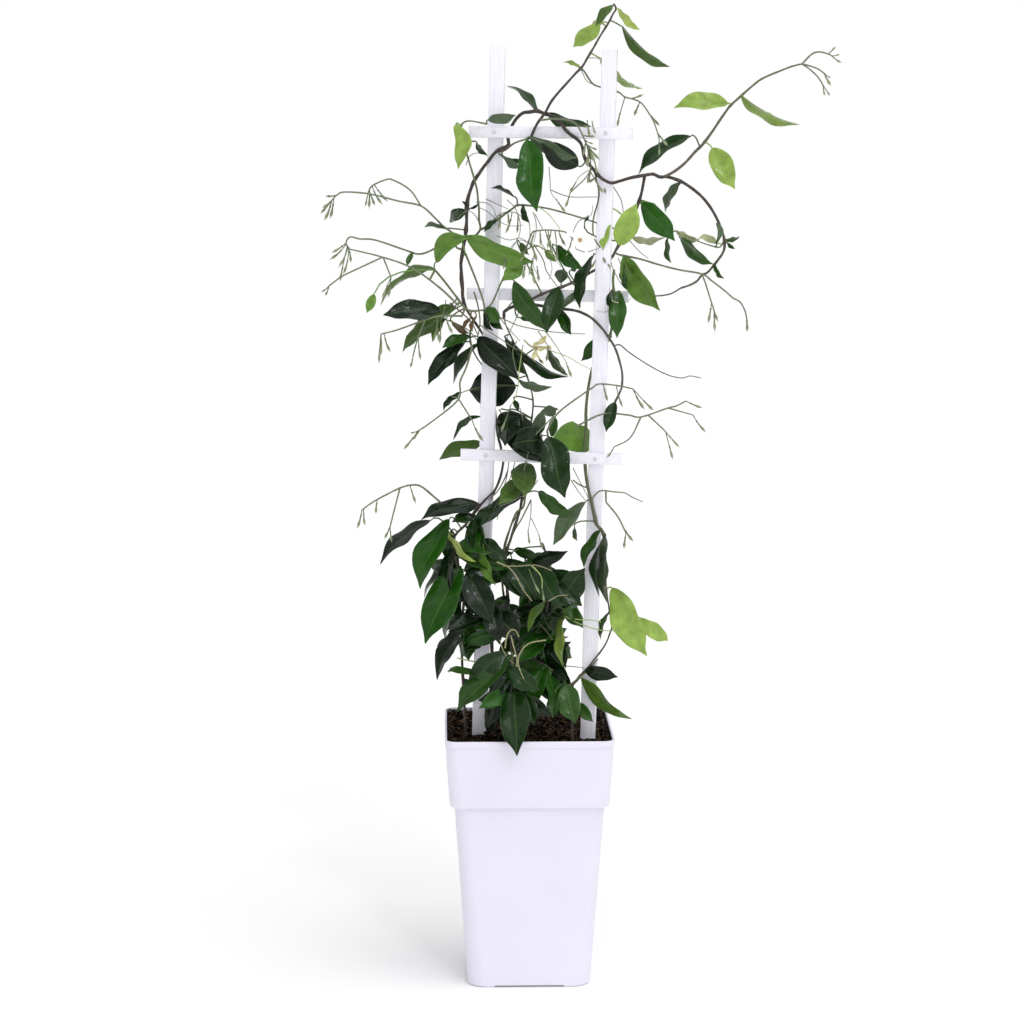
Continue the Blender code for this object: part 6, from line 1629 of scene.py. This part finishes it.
shoots["spray_right_tip"] = {
    "stems": [
        (0.8, 0.6, [(274, 924, 56), (284, 934, 60), (292, 936, 62), (300, 934, 64), (304, 932, 64)]),
        (0.7, 0.6, [(274, 924, 56), (282, 922, 54), (290, 919, 52), (297, 914, 50)]),
        (0.7, 0.6, [(274, 924, 56), (280, 920, 60), (287, 914, 64), (292, 908, 66), (296, 901, 68)]),
    ],
    "buds": [(304, 932, 312, 934, 2), (303, 932, 314, 925, -5), (297, 914, 303, 910, 2),
        (296, 915, 303, 902, -5), (296, 901, 302, 892, 3), (295, 903, 297, 892, -5),
        (300, 934, 308, 942, 5)],
}

shoots["spray_low_bar"] = {
    "stems": [
        (0.8, 0.6, [(19, 557, -24), (26, 570, -28), (37, 581, -31), (64, 600, -28), (72, 604, -26),
            (92, 602, -22), (105, 599, -20)]),
    ],
    "buds": [(76, 604, 80, 586, -4), (90, 602, 95, 580, 4), (104, 599, 117, 578, -4),
        (105, 599, 126, 577, 4)],
}

shoots["spray_right_low"] = {
    "stems": [
        (0.8, 0.6, [(49, 562, -22), (75, 574, -24), (100, 573, -22), (113, 571, -18), (140, 580, -10),
            (148, 582, -8), (158, 587, -6)]),
        (0.7, 0.5, [(113, 571, -18), (102, 550, -22), (86, 541, -26)]),
        (0.7, 0.5, [(120, 573, -16), (136, 558, -14), (138, 555, -14)]),
        (0.7, 0.5, [(140, 580, -10), (165, 573, -6)]),
    ],
    "buds": [(158, 587, 175, 580, 4), (165, 573, 179, 555, -4), (138, 555, 145, 528, 4),
        (137, 557, 152, 540, -5), (86, 541, 78, 530, -4)],
}

shoots["spray_right_short"] = {
    "stems": [
        (0.8, 0.6, [(78, 486, -25), (90, 471, -24), (98, 455, -22)]),
    ],
    "buds": [(98, 455, 96, 439, 2), (96, 460, 106, 446, -4)],
}

shoots["spray_left_bush"] = {
    "stems": [
        (0.9, 0.6, [(-88, 486, -4), (-106, 501, -8), (-116, 503, -12), (-128, 500, -16), (-148, 490, -24),
            (-158, 484, -28), (-166, 478, -30)]),
        (0.7, 0.6, [(-128, 500, -16), (-135, 473, -18), (-138, 461, -20)]),
    ],
    "buds": [(-166, 478, -171, 459, -3), (-164, 479, -163, 462, 5), (-138, 461, -136, 445, 2),
        (-137, 464, -144, 449, -5), (-118, 502, -112, 484, 3), (-150, 489, -152, 474, -4)],
}


# Flowers: five petals turned like a pinwheel round a slim tube

flowers = {
    "openFlower": {
        "node": "flower_open", "slot": "petal_white", "middle": (52, 748, -27), "foot": (47, 744, -17),
        "radius": 12, "lift": 2, "crumple": 0.3, "turned": (0.1, 0, 0.1),
        "petal": "#f4f3ec", "edge": "#ffffff", "throat": "#b06a2a", "tube": "#b9bd92",
    },
    "fadedFlower": {
        "node": "flower_faded", "slot": "petal_cream", "middle": (8, 640, -14), "foot": (-4, 648, -8),
        "radius": 13, "lift": 7, "crumple": 2.6, "turned": (1.5, 0, -0.5),
        "petal": "#dedbb2", "edge": "#d6cf98", "throat": "#9a7f45", "tube": "#a89f74",
    },
}
# What both flowers share: the tube's radii at shares of its length, the petals' grid, start angle
# and thickness, and how deep the throat's colour reaches
flowerShape = {
    "tubeShares": (0, 0.4, 0.8, 1), "tubeRadii": (0.0006, 0.0008, 0.0010, 0.0016), "tubeSides": 10,
    "petals": 5, "rows": 12, "columns": 9, "start": 0.3, "thick": 0.00022, "throatReach": 0.12,
    "mouthOut": 0.5, "mouthRadius": 1.3, "mouthThick": 0.0005,
}


# Petal point = centre + out (reach t + slant) + across (swirl(t) + half(t) s)
# + axis (lift t^2 + cup + crumple), over t along and s across
def makeFlower(name, flower, finish):
    shape = flowerShape
    centre = sight(flower["middle"])
    foot = sight(flower["foot"])
    axis = unit(unit(np.array(view["eye"]) - centre) + np.array(flower["turned"]))
    side = unit(np.cross(axis, (0, 0, 1)))
    other = np.cross(axis, side)
    reach = flower["radius"] * mm
    neck = smooth(np.stack([foot, centre - axis * 6 * mm + (foot - centre) * 0.1, centre - axis * 3 * mm,
                            centre + axis * 0.2 * mm]), 4)
    radii = np.interp(np.linspace(0, 1, len(neck)), shape["tubeShares"], shape["tubeRadii"])
    parts = [tube(neck, radii, shape["tubeSides"], np.append(linear(flower["tube"]), 0))]
    rootTint, edgeTint, throatTint = (linear(flower[key]) for key in ("petal", "edge", "throat"))
    rows, columns = shape["rows"], shape["columns"]
    t = crowded(0.1, 0.96, rows)[:, None]
    s = np.sin(np.linspace(-np.pi / 2, np.pi / 2, columns))[None, :]
    quads, tris = bladeTemplate(rows, columns)
    for number in range(shape["petals"]):
        angle = 2 * np.pi * number / shape["petals"] + shape["start"]
        out = side * math.cos(angle) + other * math.sin(angle)
        across = np.cross(axis, out)
        blunt = np.sqrt(np.clip(1 - ease(0.8, 1.05, t), 0.05, 1))
        half = reach * (0.07 + 0.27 * np.sin(np.pi * t**1.5 * 0.62)) * blunt
        swirl = reach * (0.14 * t + 0.26 * t**2)
        wild = chance.uniform(0, 2 * np.pi)
        crumple = flower["crumple"] * mm * np.sin(5 * t + 2.5 * s + wild) * t
        lift = flower["lift"] * mm * t**2 + 0.25 * half * s + crumple
        slant = reach * 0.16 * s * t**2
        sheet = (centre + out * (reach * t + slant)[..., None] + across * (swirl + half * s)[..., None]
                 + axis * lift[..., None])
        thick = axis * (shape["thick"] * (1 - np.abs(s) ** 3) * np.ones_like(t))[..., None]
        end = centre + out * reach * 1.02 + across * reach * 0.42 + axis * flower["lift"] * mm
        co = np.vstack([(sheet + thick).reshape(-1, 3), (sheet - thick)[:, 1:-1].reshape(-1, 3),
                        centre[None], end[None]])
        colour = rootTint + (edgeTint - rootTint) * t[..., None] * np.ones((1, columns, 1))
        throat = np.exp(-(t / shape["throatReach"]) ** 2)[..., None]
        colour = colour * (1 - throat) + throatTint * throat
        flat = np.vstack([colour.reshape(-1, 3), colour[:, 1:-1].reshape(-1, 3), throatTint, colour[-1, -1]])
        tint = np.hstack([flat, np.zeros((len(flat), 1))])
        # the sheet runs out along `out` and over towards `across`, whose cross product is the axis
        parts.append(part(co, quads[:, ::-1], tris[:, ::-1], tint=tint, finish=2))
    ring = np.linspace(0, 2 * np.pi, 13)[:, None]
    wreath = (side * np.cos(ring) + other * np.sin(ring)) * shape["mouthRadius"] * mm
    mouth = centre + axis * shape["mouthOut"] * mm + wreath
    parts.append(tube(mouth, shape["mouthThick"], 6, np.append(throatTint, 0), finish=2))
    makePiece(name, parts, finish, flower["node"])


print("finishes")
plastic = mouldedPolypropylene()
peat = pottingSoil()
uprightWash = whitewashedSpruce("whitewashed spruce upright", 0.0)
levelWash = whitewashedSpruce("whitewashed spruce crossbar", math.pi / 2)
steel = drawnSteel()
plantFinishes = [youngAndWoodyBark(), waxyLeaf(), softPetal()]

print("pot and soil")
makePot(plastic)
makeSoil(peat)

print("ladder")
makeLadder(uprightWash, levelWash, steel)

print("shoots")
stemWorld = {(name, number): sight(smooth(stem[2])) for name, shoot in shoots.items()
             for number, stem in enumerate(shoot["stems"])}
for name, shoot in shoots.items():
    makeShoot(name, shoot, plantFinishes)

print("flowers")
for name, flower in flowers.items():
    makeFlower(name, flower, plantFinishes)

# Studio: white paper floor, a white cove at eye level, a dimmer ceiling, three broad soft lights and
# a small one that glints on the leaves. A light's spread is in degrees

studio = {
    "paper": "#ffffff", "paperRoughness": 0.9, "floorSize": 16.0, "cove": 1.0, "ceiling": 0.37,
    "coveTop": (0.06, 0.22),
    "lights": {
        "key": {"from": (0.42, -0.3, 1.1), "spread": 38, "strength": 0.68},
        "side": {"from": (0.2, -1.0, 0.4), "spread": 80, "strength": 0.66},
        "over": {"from": (0.05, 0.0, 1.0), "spread": 110, "strength": 1.02},
        "glint": {"from": (0.3, -1.0, 0.9), "spread": 7, "strength": 0.28},
    },
}


# A sun lamp whose rays come from the way given
def softLight(name, lamp):
    data = bpy.data.lights.new(name, "SUN")
    data.angle = math.radians(lamp["spread"])
    data.energy = lamp["strength"]
    placed = bpy.data.objects.new(name, data)
    bpy.context.scene.collection.objects.link(placed)
    placed.rotation_euler = Vector(lamp["from"]).to_track_quat("Z", "Y").to_euler()


# White paper on the ground
def makeFloor():
    half = studio["floorSize"] / 2
    mesh = bpy.data.meshes.new("floor")
    corners = [(-half, -half, 0), (half, -half, 0), (half, half, 0), (-half, half, 0)]
    mesh.from_pydata(corners, [], [(0, 1, 2, 3)])
    floor = bpy.data.objects.new("floor", mesh)
    bpy.context.scene.collection.objects.link(floor)
    surface, shader = newSurface("matt white paper", Roughness=studio["paperRoughness"],
                                 Specular_IOR_Level=0.0, Base_Color=rgba(studio["paper"]))
    mesh.materials.append(surface)


# The cove's light falls from its strength at eye level to the ceiling's over coveTop, which is
# height as a share of the way up
def makeStudio():
    makeFloor()
    world = bpy.data.worlds.new("studio")
    bpy.context.scene.world = world
    world.use_nodes = True
    way = addNode(world, "TexCoord")
    split = addNode(world, "SeparateXYZ", {"Vector": (way, "Generated")})
    low, high = studio["coveTop"]
    glow = addNode(world, "MapRange", {"Value": (split, "Z"), "From Min": low, "From Max": high,
                                       "To Min": studio["cove"], "To Max": studio["ceiling"]})
    background = world.node_tree.nodes["Background"]
    background.inputs["Color"].default_value = (1, 1, 1, 1)
    join(world, background, Strength=(glow, "Result"))
    for name, lamp in studio["lights"].items():
        softLight(name, lamp)
    bpy.context.scene.view_settings.view_transform = "Standard"


# The photograph's view
def makeCamera():
    data = bpy.data.cameras.new("camera")
    data.lens = view["lens"]
    data.sensor_width = view["sensor"]
    data.clip_end = view["farthest"]
    camera = bpy.data.objects.new("camera", data)
    bpy.context.scene.collection.objects.link(camera)
    camera.location = view["eye"]
    camera.rotation_euler = (Vector(view["aim"]) - Vector(view["eye"])).to_track_quat("-Z", "Y").to_euler()
    bpy.context.scene.camera = camera


print("studio")
makeStudio()
makeCamera()
